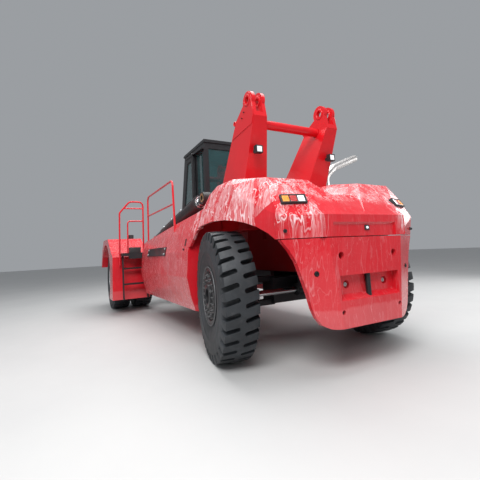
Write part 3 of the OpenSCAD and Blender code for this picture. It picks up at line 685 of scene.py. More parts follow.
def lens(name, colour, glow):
    """Moulded lens with upright flutes."""
    made = Finish(name, Coat_Weight=0.8, Coat_Roughness=0.03, Emission_Strength=glow)
    x, y, _ = made.axes()
    flutes = ((x + y) * 420).sine()
    body = made.mix(made.step(flutes, -1, 1), shade(colour, 0.75), colour)
    rough = 0.12 + made.noise(30, 2) * 0.08
    return made.done(body, rough, flutes, 0.25, 0.002, Emission_Color=colour)


def seat_cloth():
    """Charcoal woven cloth: crossed threads with a little heather."""
    made = Finish("seat_cloth", Sheen_Weight=0.3)
    x, y, z = made.axes()
    weave = (y * 2600).sine() * ((x + z) * 2600).sine()
    body = made.mix(made.noise(300, 3), (0.018, 0.018, 0.022), (0.06, 0.06, 0.068))
    return made.done(body, 0.8 + weave * 0.1, weave + made.noise(80, 3), 0.3, 0.002)


def pale_floor():
    """Smooth pale concrete."""
    made = Finish("pale_floor")
    body = made.mix(made.noise(0.6, 5), (0.5, 0.5, 0.5), (0.58, 0.58, 0.57))
    return made.done(body, 0.5 + made.noise(3, 4) * 0.2, made.noise(30, 4), 0.05, 0.004)


FINISHES = {}
# The nodes of the frame that take each finish, without left_ and right_
FINISHED_NODES = {
    "red": "boom_posts cross_tube engine_bonnet lift_brackets",
    "chassis": "chassis",
    "ballast_film": "counterweight",
    "cover_film": "rear_cover",
    "side_film": "side_bodies rear_rails front_rails",
    "fender_film": "front_fenders",
    "black": "front_axle steer_axle driveline ladders cab_shell cab_roof door tow_pin lift_barrel knuckle "
             "rear_rim",
    "tread": "platforms deck",
    "rod": "lift_rod",
    "chrome": "steer_rod",
    "stainless": "exhaust",
    "silver": "front_rims",
    "iron": "engine",
    "rubber": "rear_tyre front_tyres",
    "glass": "cab_glass",
    "plastic": "cab_console work_lamps tail_lamps front_lamps",
    "cloth": "cab_seat",
}


def make_finishes(paint):
    """All finishes by the names that the pieces and nodes use."""
    # Name, density, height of the hem, and shares of the folds, haze, sheets and crumples
    films = {
        "ballast_film": ("filmed_ballast", film_on_ballast, 0.74, 0.16, 0.05, 0.03, 0.05),
        "cover_film": ("filmed_cover", film_on_cover, NO_HEM, 0.9, 0.95, 0.1, 0.12),
        "side_film": ("filmed_sides", film_on_sides, 0.62, 0.22, 0.08, 0.06, 0.2),
        "fender_film": ("filmed_fenders", film_on_sides, 0.6, 0.25, 0.06, 0.03, 0.08),
    }
    # Name, colour and roughness
    metals = {
        "chrome": ("plated_steel", CHROME, 0.16),
        "bolt_steel": ("bolt_steel", (0.16, 0.16, 0.165), 0.5),
        "bronze": ("bronze", (0.55, 0.33, 0.16), 0.25),
        "stainless": ("stainless", (0.74, 0.71, 0.69), 0.3),
    }
    # Colour and glow
    lenses = {
        "white_lens": ((0.85, 0.87, 0.9), 0.35),
        "amber_lens": ((0.9, 0.3, 0.02), 0.25),
        "red_lens": ((0.5, 0.01, 0.01), 0.1),
    }
    return {
        "red": red_enamel(paint), "chassis": chassis_paint_and_shade(paint), "black": black_paint(paint),
        "tread": tread_plate(paint), "rubber": rubber(paint), "rod": plated_rod(),
        "glass": tinted_glass(), "cloth": seat_cloth(), "floor": pale_floor(),
        **{key: filmed_red(paint, *values) for key, values in films.items()},
        **{key: plated_steel(*values) for key, values in metals.items()},
        **{key: lens(key, *values) for key, values in lenses.items()},
        "silver": grained(
            "silver_paint", (6, 4), ((0.46, 0.47, 0.48), (0.66, 0.67, 0.68)), (420, 1), (0.28, 0.16),
            (0.05, 0.001), Metallic=0.75, Coat_Weight=0.3,
        ),
        "iron": grained(
            "cast_iron", (4, 5), ((0.07, 0.072, 0.078), (0.13, 0.13, 0.14)), (90, 4), (0.45, 0.3),
            (0.35, 0.004), Metallic=0.35,
        ),
        "plastic": grained(
            "black_plastic", (8, 3), ((0.012, 0.012, 0.013), (0.03, 0.03, 0.032)), (520, 2), (0.45, 0.2),
            (0.2, 0.001),
        ),
    }


class STACKER_OT_finishes(bpy.types.Operator):
    """Makes the finishes and gives every node of the frame its own"""

    bl_idname = "stacker.finishes"
    bl_label = "Finishes"

    def execute(self, context):
        FINISHES.update(make_finishes(context.scene.stacker_paint))
        finish_of = {name: finish for finish, names in FINISHED_NODES.items() for name in names.split()}
        for name, node in frame["nodes"].items():
            finish = FINISHES[finish_of[name.removeprefix("left_").removeprefix("right_")]]
            if not node.material_slots:
                node.data.materials.append(finish)
            for place in node.material_slots:
                place.material = finish
        return {"FINISHED"}


# Tyres

# One half of the tyre's section from the bead to the crown: shares of its radius and of half its width
TYRE_SECTION = (
    (0.382, 0.775), (0.42, 0.83), (0.463, 0.862), (0.52, 0.91), (0.565, 0.95), (0.62, 0.975),
    (0.66, 0.985), (0.665, 0.998), (0.70, 0.998), (0.705, 0.992), (0.79, 0.99), (0.88, 0.965),
    (0.955, 0.93), (0.986, 0.905), (0.99, 0.885), (0.9965, 0.55), (0.9985, 0.3), (1.0, 0.0),
)
# Inner and outer end of a slot as shares of half the width, and how far its floor falls to the shoulder
SLOT_START, SLOT_END, SLOT_FALL = 0.13, 1.4, 0.085
# How far the tread is turned so that its slots stand as in the photograph, in degrees
REAR_TREAD_TURN, FRONT_TREAD_TURN = 2.2, 4


def slot_cutter(wheels, half):
    """A slot's shape at the top of the tyre: rounded inner end, floor that falls to the shoulder."""
    start, end = SLOT_START * half, SLOT_END * half
    width, floor = wheels.slot_width, TYRE_R - wheels.slot_depth
    cutter = add_block((-width / 2, start, floor), (width / 2, end, TYRE_R + 0.05))
    with edit(cutter, lambda middle, run: middle.y < start + 1e-4 and abs(run.z) > 0.01, "EDGE"):
        bpy.ops.mesh.bevel(offset=width * 0.47, segments=5, affect="EDGES")
    with edit(cutter, lambda middle, run: middle.z < floor + 1e-4 and middle.y > end - 1e-4, "EDGE"):
        bpy.ops.transform.translate(value=(0, 0, -SLOT_FALL))
    with edit(cutter):
        bpy.ops.transform.rotate(
            value=wheels.slot_slant, orient_axis="Z", orient_type="GLOBAL", center_override=(0, start, 0)
        )
    return cutter


def tyre_about_y(wheels):
    """One tyre about the Y axis: a spun section with slots cut in both shoulders by turns."""
    half = wheels.tyre_width / 2
    right = [(TYRE_R * r, half * a) for r, a in TYRE_SECTION]
    left = [(TYRE_R * r, -half * a) for r, a in reversed(TYRE_SECTION[:-1])]
    tyre = spun(right + left, steps=wheels.slots * 4)
    cutter = slot_cutter(wheels, half)
    other = copy_of(cutter, Matrix.Rotation(math.pi, 4, "Z"))
    rings = [ring_of(cutter, wheels.slots), ring_of(other, wheels.slots, math.pi / wheels.slots)]
    cut_away(tyre, join(rings))
    return round_edges(tyre, 0.004, segments=1, angle=50)


def wheel_places(wheels):
    """Name, body, node and placing of each tyre's middle, with the outside towards +Y of the placing."""
    low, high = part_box("left_front_tyres")
    half_pair = (high.y - low.y - wheels.tyre_width) / 2
    places = []
    for side, s, flip in (("left", 1, 0), ("right", -1, math.pi)):
        spin = JOINTS[f"{side}_rear_spin"]
        turn = math.atan2(-spin["axis"][0], spin["axis"][1])
        placing = Matrix.Translation(Vector(spin["pos_m"])) @ Matrix.Rotation(turn + flip, 4, "Z")
        places.append((f"{side}_rear", f"{side}_rear_wheel", f"{side}_rear_tyre", placing))
        hub = Vector(JOINTS[f"{side}_front_spin"]["pos_m"])
        for name, out in (("outer", 1), ("inner", -1)):
            at = hub + LEFT * (s * out * half_pair)
            placing = Matrix.Translation(at) @ Matrix.Rotation(flip, 4, "Z")
            places.append((f"{side}_front_{name}", f"{side}_front_wheels", f"{side}_front_tyres", placing))
    return places


class STACKER_OT_tyres(bpy.types.Operator):
    """Models one tyre with its tread and puts it on all six wheels"""

    bl_idname = "stacker.tyres"
    bl_label = "Tyres"

    def execute(self, context):
        wheels = context.scene.stacker_wheels
        tyre = tyre_about_y(wheels)
        for name, body, node, placing in wheel_places(wheels):
            turn = REAR_TREAD_TURN if "rear" in name else FRONT_TREAD_TURN
            piece = copy_of(tyre, placing @ Matrix.Rotation(math.radians(turn), 4, "Y"))
            finished(piece, f"tyre_{name}", body, "rubber", smooth=40)
            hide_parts(node)
        drop(tyre)
        return {"FINISHED"}


# Wheel nuts, hubs and rim lips

# Ring and face of each wheel's nuts, and of its hub's bolts where it has a hub: distances from the axis and
# from the tyre's middle
WHEEL_TRIM = {
    "rear": ((0.265, 0.198), (0.2, 0.198)),
    "front_outer": ((0.262, -0.046), (0.168, -0.02)),
    "front_inner": ((0.262, -0.046), None),
}
HUB_BOLTS = 16
# Radius and face of the front hub cap, and its steps: inset and rise
HUB_CAP_R, HUB_CAP_FACE = 0.185, -0.04
HUB_CAP_STEPS = ((0.035, 0.085), (0.03, 0.02), (0.05, 0.012))
# Section of the rear hub's flange, as radius and Y: a ring with a deep bore, standing out of the disc
REAR_FLANGE = (
    (0.306, 0.04), (0.3, 0.18), (0.288, 0.194), (0.16, 0.2), (0.15, 0.222), (0.112, 0.228), (0.1, 0.22),
    (0.096, 0.06), (0.03, 0.05), (0.02, 0.04),
)
# Radius, Y and thickness of the lip round the rim
LIP_R, LIP_Y, LIP_THICK = 0.371, 0.199, 0.01
# Radius to a nut's corners, its height below the stud, and the stud's inset and rise
NUT_R, NUT_HIGH, STUD = 0.017, 0.018, (0.008, 0.014)
# Angles up to which edges are shaded smooth, in degrees: a nut's facets meet at 30, and each stays flat
NUT_SMOOTH, TRIM_SMOOTH = 25, 30


def wheel_nut(ring, face):
    """A nut on its stud, standing on a face."""
    nut = add_rod(NUT_R, NUT_HIGH, (ring, face + NUT_HIGH / 2, 0), LEFT, corners=6)
    return round_edges(stepped(nut, LEFT, STUD), 0.002, segments=1)


def hub_bolts(ring, face):
    """A ring of bolts half as wide as the nuts."""
    bolt = wheel_nut(ring, face)
    bolt.data.transform(Matrix.Translation((ring / 2, 0, 0)) @ Matrix.Diagonal((0.5, 1, 0.5, 1)))
    return ring_of(bolt, HUB_BOLTS)


def hub_cap():
    """A stepped round cap: each step insets the face and raises it."""
    cap = add_rod(HUB_CAP_R, 0.02, (0, HUB_CAP_FACE + 0.01, 0), LEFT, corners=64)
    return round_edges(stepped(cap, LEFT, *HUB_CAP_STEPS), 0.004)


def rim_lip():
    angles = [math.tau * i / 10 for i in range(10)]
    return spun([(LIP_R + LIP_THICK * math.cos(a), LIP_Y + LIP_THICK * math.sin(a)) for a in angles])


class STACKER_OT_wheel_trim(bpy.types.Operator):
    """Adds nuts, hubs with their bolts, and rim lips to the wheels"""

    bl_idname = "stacker.wheel_trim"
    bl_label = "Wheel nuts and hubs"

    def execute(self, context):
        wheels = context.scene.stacker_wheels
        for name, body, _, placing in wheel_places(wheels):
            kind = "rear" if "rear" in name else name.split("_", 1)[1]
            nuts, bolts = WHEEL_TRIM[kind]
            # The rear lips are silver paint like the front ones; their dark bolt steel finish is painted
            # shade.
            lip_finish_with_rear_shade = "bolt_steel" if kind == "rear" else "silver"
            ring = ring_of(wheel_nut(*nuts), wheels.nuts)
            trim = [
                ("nuts", ring, "bolt_steel", "bare_steel", NUT_SMOOTH),
                ("lip", rim_lip(), lip_finish_with_rear_shade, "silver_paint", TRIM_SMOOTH),
            ]
            if kind == "rear":
                trim.append(("hub", spun(REAR_FLANGE), "black", "black_paint", TRIM_SMOOTH))
            elif bolts:
                trim.append(("hub", hub_cap(), "silver", "silver_paint", TRIM_SMOOTH))
            if bolts:
                trim.append(("hub_bolts", hub_bolts(*bolts), "bolt_steel", "bare_steel", NUT_SMOOTH))
            for part, piece, finish, slot, smooth in trim:
                piece.data.transform(placing)
                finished(piece, f"{part}_{name}", body, finish, smooth)
        return {"FINISHED"}


# Lamps

# The left tail lamp's place and direction, its size, and its lenses from the outside inwards
TAIL_LAMP = placed((-3.908, 0.885, 1.94), (-0.79, 0.24, 0.56))
TAIL_WIDE, TAIL_HIGH = 0.306, 0.124
TAIL_LENSES = ("amber", "red", "white")
# Middle of the left work lamp
WORK_LAMP_Y = 0.69


def framed_block(width, height, deep, proud, rim, sunk):
    """A housing with a rim round its sunk face, in the XY plane."""
    piece = add_block((-width / 2, -height / 2, -deep), (width / 2, height / 2, proud))
    return round_edges(stepped(piece, UP, (rim, -sunk)), rim * 0.3)


def moulded_lens(width, height, at_x, low, high):
    """A lens whose face is split into dished cells."""
    piece = add_block((at_x - width / 2, -height / 2, low), (at_x + width / 2, height / 2, high))
    round_edges(piece, 0.004)
    with edit(piece, lambda middle, normal: normal.z > 0.9):
        bpy.ops.mesh.inset(thickness=0.004)
        bpy.ops.mesh.subdivide(number_cuts=3)

    def in_a_cell(middle, normal):
        reach = abs(middle.x - at_x) < width / 2 - 0.008 and abs(middle.y) < height / 2 - 0.008
        return normal.z > 0.9 and reach

    with edit(piece, in_a_cell):
        bpy.ops.mesh.inset(thickness=0.0015, depth=-0.002, use_individual=True)
    return piece


class STACKER_OT_lamps(bpy.types.Operator):
    """Adds lenses, rims and bezels to the lamps"""

    bl_idname = "stacker.lamps"
    bl_label = "Lamps"

    def execute(self, context):
        bezel = framed_block(TAIL_WIDE, TAIL_HIGH, deep=0.05, proud=0.03, rim=0.011, sunk=0.012)
        on_both_sides(bezel, "tail_bezel", "plastic", TAIL_LAMP)
        pitch = (TAIL_WIDE - 0.03) / len(TAIL_LENSES)
        for i, colour in enumerate(TAIL_LENSES):
            glass = moulded_lens(pitch * 0.84, TAIL_HIGH - 0.036, (i - 1) * pitch, 0.015, 0.027)
            on_both_sides(glass, f"tail_{colour}", f"{colour}_lens", TAIL_LAMP)
        low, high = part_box("work_lamps")
        size = high.z - low.z
        at = placed((low.x, WORK_LAMP_Y, (low.z + high.z) / 2), -AHEAD)
        rim = framed_block(size, size, deep=0.01, proud=0.008, rim=0.012, sunk=0.01)
        on_both_sides(rim, "work_rim", "plastic", at)
        glass = moulded_lens(size - 0.03, size - 0.03, 0, -0.005, 0.005)
        on_both_sides(glass, "work_lens", "white_lens", at)
        low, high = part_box("front_lamps")
        radius = (high.x - low.x) / 2
        at = placed(((low.x + high.x) / 2, high.y - radius, (low.z + high.z) / 2), AHEAD)
        shell = stepped(add_rod(0.062, 0.05, (0, 0, radius - 0.015), corners=40), UP, (0.008, -0.012))
        on_both_sides(round_edges(shell, 0.003), "head_rim", "plastic", at)
        dome = add_rod(0.052, 0.02, (0, 0, radius), corners=40)
        stepped(dome, UP, (0.008, 0.008), (0.01, 0.006), (0.012, 0.004))
        on_both_sides(dome, "head_lens", "white_lens", at, smooth=60)
        return {"FINISHED"}


# Boom posts

# The boom's pivot as X from the rear axle and Z, and the radius of its bore
PIVOT = (-0.04, 3.575)
PIVOT_R = 0.055
# The faces of the two ears of the left post, from the machine's middle outwards
EAR_FACES = (0.57, 0.625, 0.735, 0.79)
# Outline of the doubler plate on the outer ear and the post below it
POST_PLATE = (
    (-0.14, 3.195), (-0.186, 3.302), (-0.163, 3.515), *arc(PIVOT, 0.122, 200, -15), (0.318, 3.383),
    (0.428, 3.226), (0.478, 3.135),
)
PLATE_THICK = 0.008
# The boss and the grease points, as X from the rear axle and Z
BOSS = (0.4, 3.38)
GREASE_POINTS = ((0.058, 3.431), (0.124, 3.362))


def bore_collar(face, out):
    """A collar round the bore on an ear's face, its section running outwards along Y."""
    section = [
        (-0.002, -0.02), (0.03, -0.001), (0.03, 0.005), (0.026, 0.008), (0.002, 0.008), (-0.002, 0.004)
    ]
    return spun([(PIVOT_R + wide, face + out * rise) for wide, rise in section], steps=64)


class STACKER_OT_posts(bpy.types.Operator):
    """Adds the doubler plates, bore collars, front bosses and grease points of the boom posts"""

    bl_idname = "stacker.posts"
    bl_label = "Boom posts"

    def execute(self, context):
        outer = EAR_FACES[3]
        bore = Matrix.Translation((REAR_X + PIVOT[0], 0, PIVOT[1]))
        plate = prism(POST_PLATE, outer, PLATE_THICK)
        hole = add_rod(PIVOT_R + 0.004, 0.1, bore @ Vector((0, outer, 0)), LEFT, corners=48)
        cut_away(plate, hole)
        on_both_sides(round_edges(plate, 0.003, segments=1), "post_plate", "red")
        faces = (*EAR_FACES[:3], outer + PLATE_THICK)
        for i, (face, out) in enumerate(zip(faces, (-1, 1, -1, 1))):
            on_both_sides(bore_collar(face, out), f"bore_collar_{i}", "red", bore)
        low, high = EAR_FACES[0] + 0.03, outer - 0.004
        boss = add_rod(0.038, high - low, (REAR_X + BOSS[0], (low + high) / 2, BOSS[1]), LEFT)
        stepped(boss, LEFT, (0.014, -0.012))
        on_both_sides(round_edges(boss, 0.004), "post_boss", "red")
        points = [add_rod(0.009, 0.014, (REAR_X + x, outer + 0.014, z), LEFT, 12) for x, z in GREASE_POINTS]
        for point in points:
            stepped(point, LEFT, (0.004, 0.008))
        on_both_sides(join(points), "grease_points", "black")
        return {"FINISHED"}


# Counterweight, cover, side bodies, platforms and engine bonnet

# X of the counterweight's rear face
REAR_FACE = REAR_X - 1.29
# Bolts and plugs of the left rear: name, place, outward direction, radius, length, finish, slot
BALLAST_BOLTS = (
    ("lifting_plug", (REAR_FACE + 0.115, 0.436, 1.293), (-1, 0, 0), 0.026, 0.03, "black", "black_paint"),
    ("pocket_bolt", (REAR_FACE + 0.15, 0.315, 0.962), (-1, 0, 0), 0.026, 0.05, "silver", "silver_paint"),
    ("foot_plug", (REAR_FACE + 0.05, 0.463, 0.677), (-1, 0, 0), 0.016, 0.03, "black", "black_paint"),
    ("chamfer_bolt", (-4.03, 0.735, 1.11), (-0.92, 0.39, 0), 0.024, 0.03, "black", "black_paint"),
    ("cover_bolt", (-3.948, 1.051, 1.588), (-0.92, 0.37, -0.12), 0.016, 0.03, "black", "black_paint"),
)
# Outward direction of a side body's slanted upper side, and its lower edge as Y and Z
SIDE_SLANT = Vector((0, 0.974, 0.228))
SIDE_EDGE = (1.405, 1.43)
REAR_EYE = Vector((REAR_FACE + 0.024, -0.03, 1.602))
# Places on the side body, as X from the rear axle and Z, and the plate's length and height
SIDE_HANDLE, SIDE_BOLT, LONG_PLATE_AT = (1.185, 1.583), (1.215, 1.47), (2.96, 1.462)
LONG_PLATE = (1.4, 0.165)
# Distance between the bonnet's louvres, and their number
LOUVRE_PITCH, LOUVRES = 0.07, 8


def on_side(x, z):
    """A placing on the slanted upper side of the left side body, X from the rear axle."""
    y = SIDE_EDGE[0] - (z - SIDE_EDGE[1]) * SIDE_SLANT.z / SIDE_SLANT.y
    return placed((REAR_X + x, y, z), SIDE_SLANT)


def socket_bolt(radius, length):
    """A bolt with a washer and a hollow head, its face towards +Z."""
    bolt = add_rod(radius * 1.35, length * 0.35, (0, 0, length * 0.175))
    stepped(bolt, UP, (radius * 0.45, length * 0.65), (radius * 0.4, -length * 0.4))
    return round_edges(bolt, radius * 0.08, segments=1)


class STACKER_OT_body_fittings(bpy.types.Operator):
    """Adds bolts, plugs, the rear lens, the handles and the long plates of the bodywork"""

    bl_idname = "stacker.body_fittings"
    bl_label = "Body fittings"

    def execute(self, context):
        for name, at, out, radius, length, finish, slot in BALLAST_BOLTS:
            on_both_sides(socket_bolt(radius, length), name, finish, placed(at, out))
        housing = framed_block(0.075, 0.06, deep=0.02, proud=0.012, rim=0.008, sunk=0.004)
        # The eye is no lamp: the glow of its white lens finish is a painted highlight.
        eye = socket_bolt(radius=0.013, length=0.016)
        rear_eye = (
            (housing, "rear_eye_housing", "plastic", REAR_EYE),
            (eye, "rear_eye", "white_lens", REAR_EYE - AHEAD * 0.008),
        )
        for piece, name, finish, at in rear_eye:
            piece.data.transform(placed(at, -AHEAD))
            finished(piece, name, "machine", finish)
        handle = framed_block(0.04, 0.12, deep=0.01, proud=0.008, rim=0.007, sunk=0.012)
        on_both_sides(handle, "side_handle", "plastic", on_side(*SIDE_HANDLE))
        bolt = socket_bolt(radius=0.014, length=0.02)
        on_both_sides(bolt, "side_bolt", "black", on_side(*SIDE_BOLT))
        at = on_side(*LONG_PLATE_AT)
        plate = framed_block(*LONG_PLATE, deep=0.004, proud=0.014, rim=0.012, sunk=0.003)
        on_both_sides(plate, "long_plate", "black", at)
        corners = [Matrix.Translation((x, y, 0.011)) for x in (-0.64, 0.64) for y in (-0.05, 0.05)]
        bolts = copies(socket_bolt(radius=0.018, length=0.014), corners)
        on_both_sides(bolts, "long_plate_bolts", "silver", at)
        return {"FINISHED"}


class STACKER_OT_deck_fittings(bpy.types.Operator):
    """Adds the boxes on the platforms, and the louvres and the handle of the engine bonnet"""

    bl_idname = "stacker.deck_fittings"
    bl_label = "Deck fittings"

    def execute(self, context):
        low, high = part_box("platforms")
        box = add_block((low.x + 0.004, 1.43, high.z), (low.x + 0.13, 1.69, 1.62))
        stepped(box, -AHEAD, (0.012, 0.003))
        on_both_sides(round_edges(box, 0.012, segments=3), "platform_box", "plastic")
        low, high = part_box("engine_bonnet")
        louvre = add_block((low.x + 0.2, -0.2, high.z - 0.002), (low.x + 0.235, 0.2, high.z + 0.014))
        stepped(louvre, AHEAD, (0.004, -0.022))
        round_edges(louvre, 0.003)
        shifts = [Matrix.Translation(AHEAD * (LOUVRE_PITCH * i)) for i in range(LOUVRES)]
        louvres = copies(louvre, shifts)
        finished(louvres, "bonnet_louvres", "engine_bonnet", "red")
        half = ((0.09, -0.004), (0.09, 0.03), (0.07, 0.045))
        grip = [(-y, z) for y, z in half] + [(y, z) for y, z in reversed(half)]
        handle = pipe([(high.x - 0.06, y, high.z + z) for y, z in grip], 0.008)
        finished(handle, "bonnet_handle", "engine_bonnet", "black")
        return {"FINISHED"}


# Lift cylinders, drawn with the base pin at the origin and X along the rod

BARREL_R = 0.131
# Distances of the barrel's mouth and of the rod's eye from the base pin
BARREL_END = 3.035
ROD_EYE = 3.265
# The angle at which the cylinder lies at rest
LIFT_REST = math.radians(10)
LIFT_PIPE_R = 0.014
# Y and far end of each pipe, and the distances of the clamps from the base pin
LIFT_PIPES = ((-0.03, 2.86), (0.03, 2.6))
LIFT_CLAMPS = (0.75, 1.4, 2.05)


def lift_place():
    """The left cylinder's base pin, with X along the rod backwards and Z upwards."""
    base = Vector(JOINTS["left_lift_swing"]["pos_m"])
    back = Vector((-math.cos(LIFT_REST), 0, math.sin(LIFT_REST)))
    return Matrix.Translation(base) @ Matrix((back, -LEFT, LEFT.cross(back))).transposed().to_4x4()


def lift_pipe(y, end):
    """A pipe that leaves the barrel near its base, runs along its back and goes in again."""
    inside, height = BARREL_R - 0.02, BARREL_R + 0.016
    path = (
        (0.42, inside), (0.42, height), (0.47, height), (1.6, height), (end - 0.05, height), (end, height),
        (end, inside),
    )
    return pipe([(x, y, z) for x, z in path], LIFT_PIPE_R)


def clamp(x):
    """A clamp across the two pipes on the barrel's back."""
    block = add_block((x - 0.02, -0.055, BARREL_R - 0.004), (x + 0.02, 0.055, BARREL_R + 0.034))
    return round_edges(stepped(block, UP, (0.008, 0.006)), 0.004)


class STACKER_OT_lift_fittings(bpy.types.Operator):
    """Adds the pipes, clamps, bushes and seals of the lift cylinders"""

    bl_idname = "stacker.lift_fittings"
    bl_label = "Lift cylinders"

    def execute(self, context):
        place = lift_place()
        pipes = join([lift_pipe(y, end) for y, end in LIFT_PIPES])
        on_both_sides(pipes, "lift_pipes", "black", place, "lift_barrel")
        clamps = join([clamp(x) for x in LIFT_CLAMPS])
        on_both_sides(clamps, "lift_clamps", "chrome", place, "lift_barrel")
        bush = spun([(0.046, -0.072), (0.078, -0.072), (0.074, -0.076), (0.05, -0.076)], steps=48)
        bushes = join([bush, copy_of(bush, MIRROR)])
        eye = place @ Matrix.Translation((ROD_EYE, 0, 0))
        on_both_sides(bushes, "rod_bush", "bronze", eye, "lift_rod")
        seal = spun([(0.0855, 0), (0.12, 0), (0.112, 0.018), (0.092, 0.02)], steps=64)
        along = place @ Matrix.Translation((BARREL_END, 0, 0)) @ Matrix.Rotation(-math.pi / 2, 4, "Z")
        on_both_sides(seal, "rod_seal", "chrome", along, "lift_barrel")
        return {"FINISHED"}


# Cab, outlines as X from the rear axle and Z

DOOR_GLASS = ((2.492, 2.012), (3.058, 2.012), (3.019, 2.411), (2.752, 3.348), (2.492, 3.348))
FRONT_GLASS = (
    (3.385, 2.102), (3.325, 2.43), (3.058, 3.438), (3.064, 3.438), (3.331, 2.431), (3.391, 2.102)
)
FRONT_GLASS_Y = 0.588
DOOR_GLASS_THICK = 0.006
# X of the cab's rear face
REAR_WALL_X = REAR_X + 1.9
# The door's handle as X from the rear axle and Z, and the grab rail's X from the rear axle
DOOR_HANDLE = (2.44, 2.35)
GRAB_RAIL_X = 2.36
# The wiper's arm: distance behind the rear wall's face, Y and Z
WIPER_ARM = (
    (0.012, 0.05, 2.585), (0.018, 0.08, 2.66), (0.02, 0.12, 2.75), (0.016, 0.17, 2.86), (0.012, 0.2, 2.95)
)


def seal_of(outline, middle, wide, deep):
    """A rubber frame that follows an outline."""
    piece = prism(outline, middle - deep / 2, deep)
    with edit(piece, lambda at, normal: abs(normal.y) > 0.9):
        bpy.ops.mesh.inset(thickness=wide)
        bpy.ops.mesh.bridge_edge_loops()
    return piece


class STACKER_OT_cab_fittings(bpy.types.Operator):
    """Adds glass, seals and handles to the doors, the windscreen, the wiper and the grab rails"""

    bl_idname = "stacker.cab_fittings"
    bl_label = "Cab"

    def execute(self, context):
        low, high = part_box("left_door")
        middle = (low.y + high.y) / 2
        pane = prism(DOOR_GLASS, middle - DOOR_GLASS_THICK / 2, DOOR_GLASS_THICK)
        on_both_sides(pane, "door_glass", "glass", part="door")
        seal = seal_of(DOOR_GLASS, middle, wide=0.022, deep=0.02)
        on_both_sides(seal, "door_seal", "plastic", part="door")
        handle = framed_block(0.03, 0.16, deep=0.002, proud=0.025, rim=0.006, sunk=0.006)
        at = placed((REAR_X + DOOR_HANDLE[0], high.y, DOOR_HANDLE[1]), LEFT)
        on_both_sides(handle, "door_handle", "plastic", at, "door")
        screen = prism(FRONT_GLASS, -FRONT_GLASS_Y, FRONT_GLASS_Y * 2)
        finished(screen, "windscreen", "machine", "glass")
        arm = pipe([(REAR_WALL_X - off, y, z) for off, y, z in WIPER_ARM], 0.006)
        blade = add_block((REAR_WALL_X - 0.016, 0.19, 2.75), (REAR_WALL_X - 0.004, 0.205, 3.2))
        finished(join([arm, blade]), "rear_wiper", "machine", "plastic")
        # The rail stands on the door's two guides, and the door slides past behind it.
        foot_y, rail_y = high.y + 0.008, high.y + 0.045
        bottom, top = low.z - 0.04, high.z + 0.015
        path = (
            (foot_y, bottom), (rail_y - 0.005, bottom), (rail_y, bottom + 0.03), (rail_y, top - 0.03),
            (rail_y - 0.005, top), (foot_y, top),
        )
        rail = pipe([(REAR_X + GRAB_RAIL_X, y, z) for y, z in path], 0.012)
        on_both_sides(rail, "grab_rail", "black")
        return {"FINISHED"}


# Seat

# How far a pad may swell, which is also how much smaller it starts on each side
SEAT_SWELL = 0.012
# Half the width of a sewn channel
CHANNEL_REACH = 0.02
SEAT_FOOT_TOP = 2.33
PAD_CELL, QUICK_CELL = 0.006, 0.02


def swell(pad, cap):
    """Lets a pad swell like a stuffed cover, no point moving further than the cap."""
    before = [v.co.copy() for v in pad.data.vertices]
    choose(pad)
    cloth = pad.modifiers.new("cloth", "CLOTH")
    cloth.settings.quality = 5
    cloth.settings.use_pressure = True
    cloth.settings.uniform_pressure_force = 4
    cloth.settings.effector_weights.gravity = 0
    scene = bpy.context.scene
    for step in range(1, 21):
        scene.frame_set(step)
    bpy.ops.object.modifier_apply(modifier=cloth.name)
    for point, start in zip(pad.data.vertices, before):
        move = point.co - start
        if move.length > cap:
            point.co = start + move.normalized() * cap
    scene.frame_set(1)


def cushion(low, high, channels):
    """A stuffed seat part with sewn channels across its face."""
    gap = Vector((SEAT_SWELL, SEAT_SWELL, SEAT_SWELL))
    pad = add_block(low + gap, high - gap)
    round_edges(pad, min(high - low) * 0.3, 4)
    apply_modifier(pad, "REMESH", mode="VOXEL", voxel_size=PAD_CELL)
    swell(pad, SEAT_SWELL)
    middle = (low + high) / 2
    for point in pad.data.vertices:
        for centre, direction, depth in channels:
            away = abs((point.co - centre).dot(direction))
            if away < CHANNEL_REACH:
                inward = Vector((middle.x - point.co.x, 0, middle.z - point.co.z))
                point.co += inward.normalized() * depth * (1 - away / CHANNEL_REACH) ** 2
    pad.data.update()
    return pad


def pedestal(floor_z):
    """The seat's foot, folded like a bellows."""
    foot = add_block((REAR_X + 2.35, -0.12, floor_z), (REAR_X + 2.65, 0.12, SEAT_FOOT_TOP))
    with edit(foot):
        bpy.ops.mesh.subdivide(number_cuts=7)
    levels = sorted({round(v.co.z, 4) for v in foot.data.vertices})
    for point in foot.data.vertices:
        if round(point.co.z, 4) in levels[1:-1:2]:
            point.co.x += math.copysign(0.02, REAR_X + 2.5 - point.co.x)
            point.co.y *= 0.84
    foot.data.update()
    return foot


class STACKER_OT_seat(bpy.types.Operator):
    """Models the operator's seat: a stuffed cushion, a stuffed back and a pedestal"""

    bl_idname = "stacker.seat"
    bl_label = "Seat"

    def execute(self, context):
        low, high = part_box("cab_seat")
        # Name, corners, and the direction and height above the middle of the channel that crosses the others
        pads = (
            ("seat_cushion", (REAR_X + 2.25, low.y, 2.33), (high.x, high.y, 2.45), AHEAD, 0),
            ("seat_back", (REAR_X + 2.15, low.y, 2.34), (REAR_X + 2.26, high.y, high.z), UP, 0.1),
        )
        made = []
        for name, pad_low, pad_high, across, height in pads:
            pad_low, pad_high = Vector(pad_low), Vector(pad_high)
            middle = (pad_low + pad_high) / 2
            channels = [(middle + LEFT * y, LEFT, 0.008) for y in (0.13, -0.13)]
            channels.append((middle + UP * height, across, 0.006))
            made.append(cushion(pad_low, pad_high, channels))
            finished(made[-1], name, "machine", "cloth", smooth=60)
        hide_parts("cab_seat")
        finished(pedestal(low.z), "seat_pedestal", "machine", "plastic")
        return {"FINISHED"}


# Stage

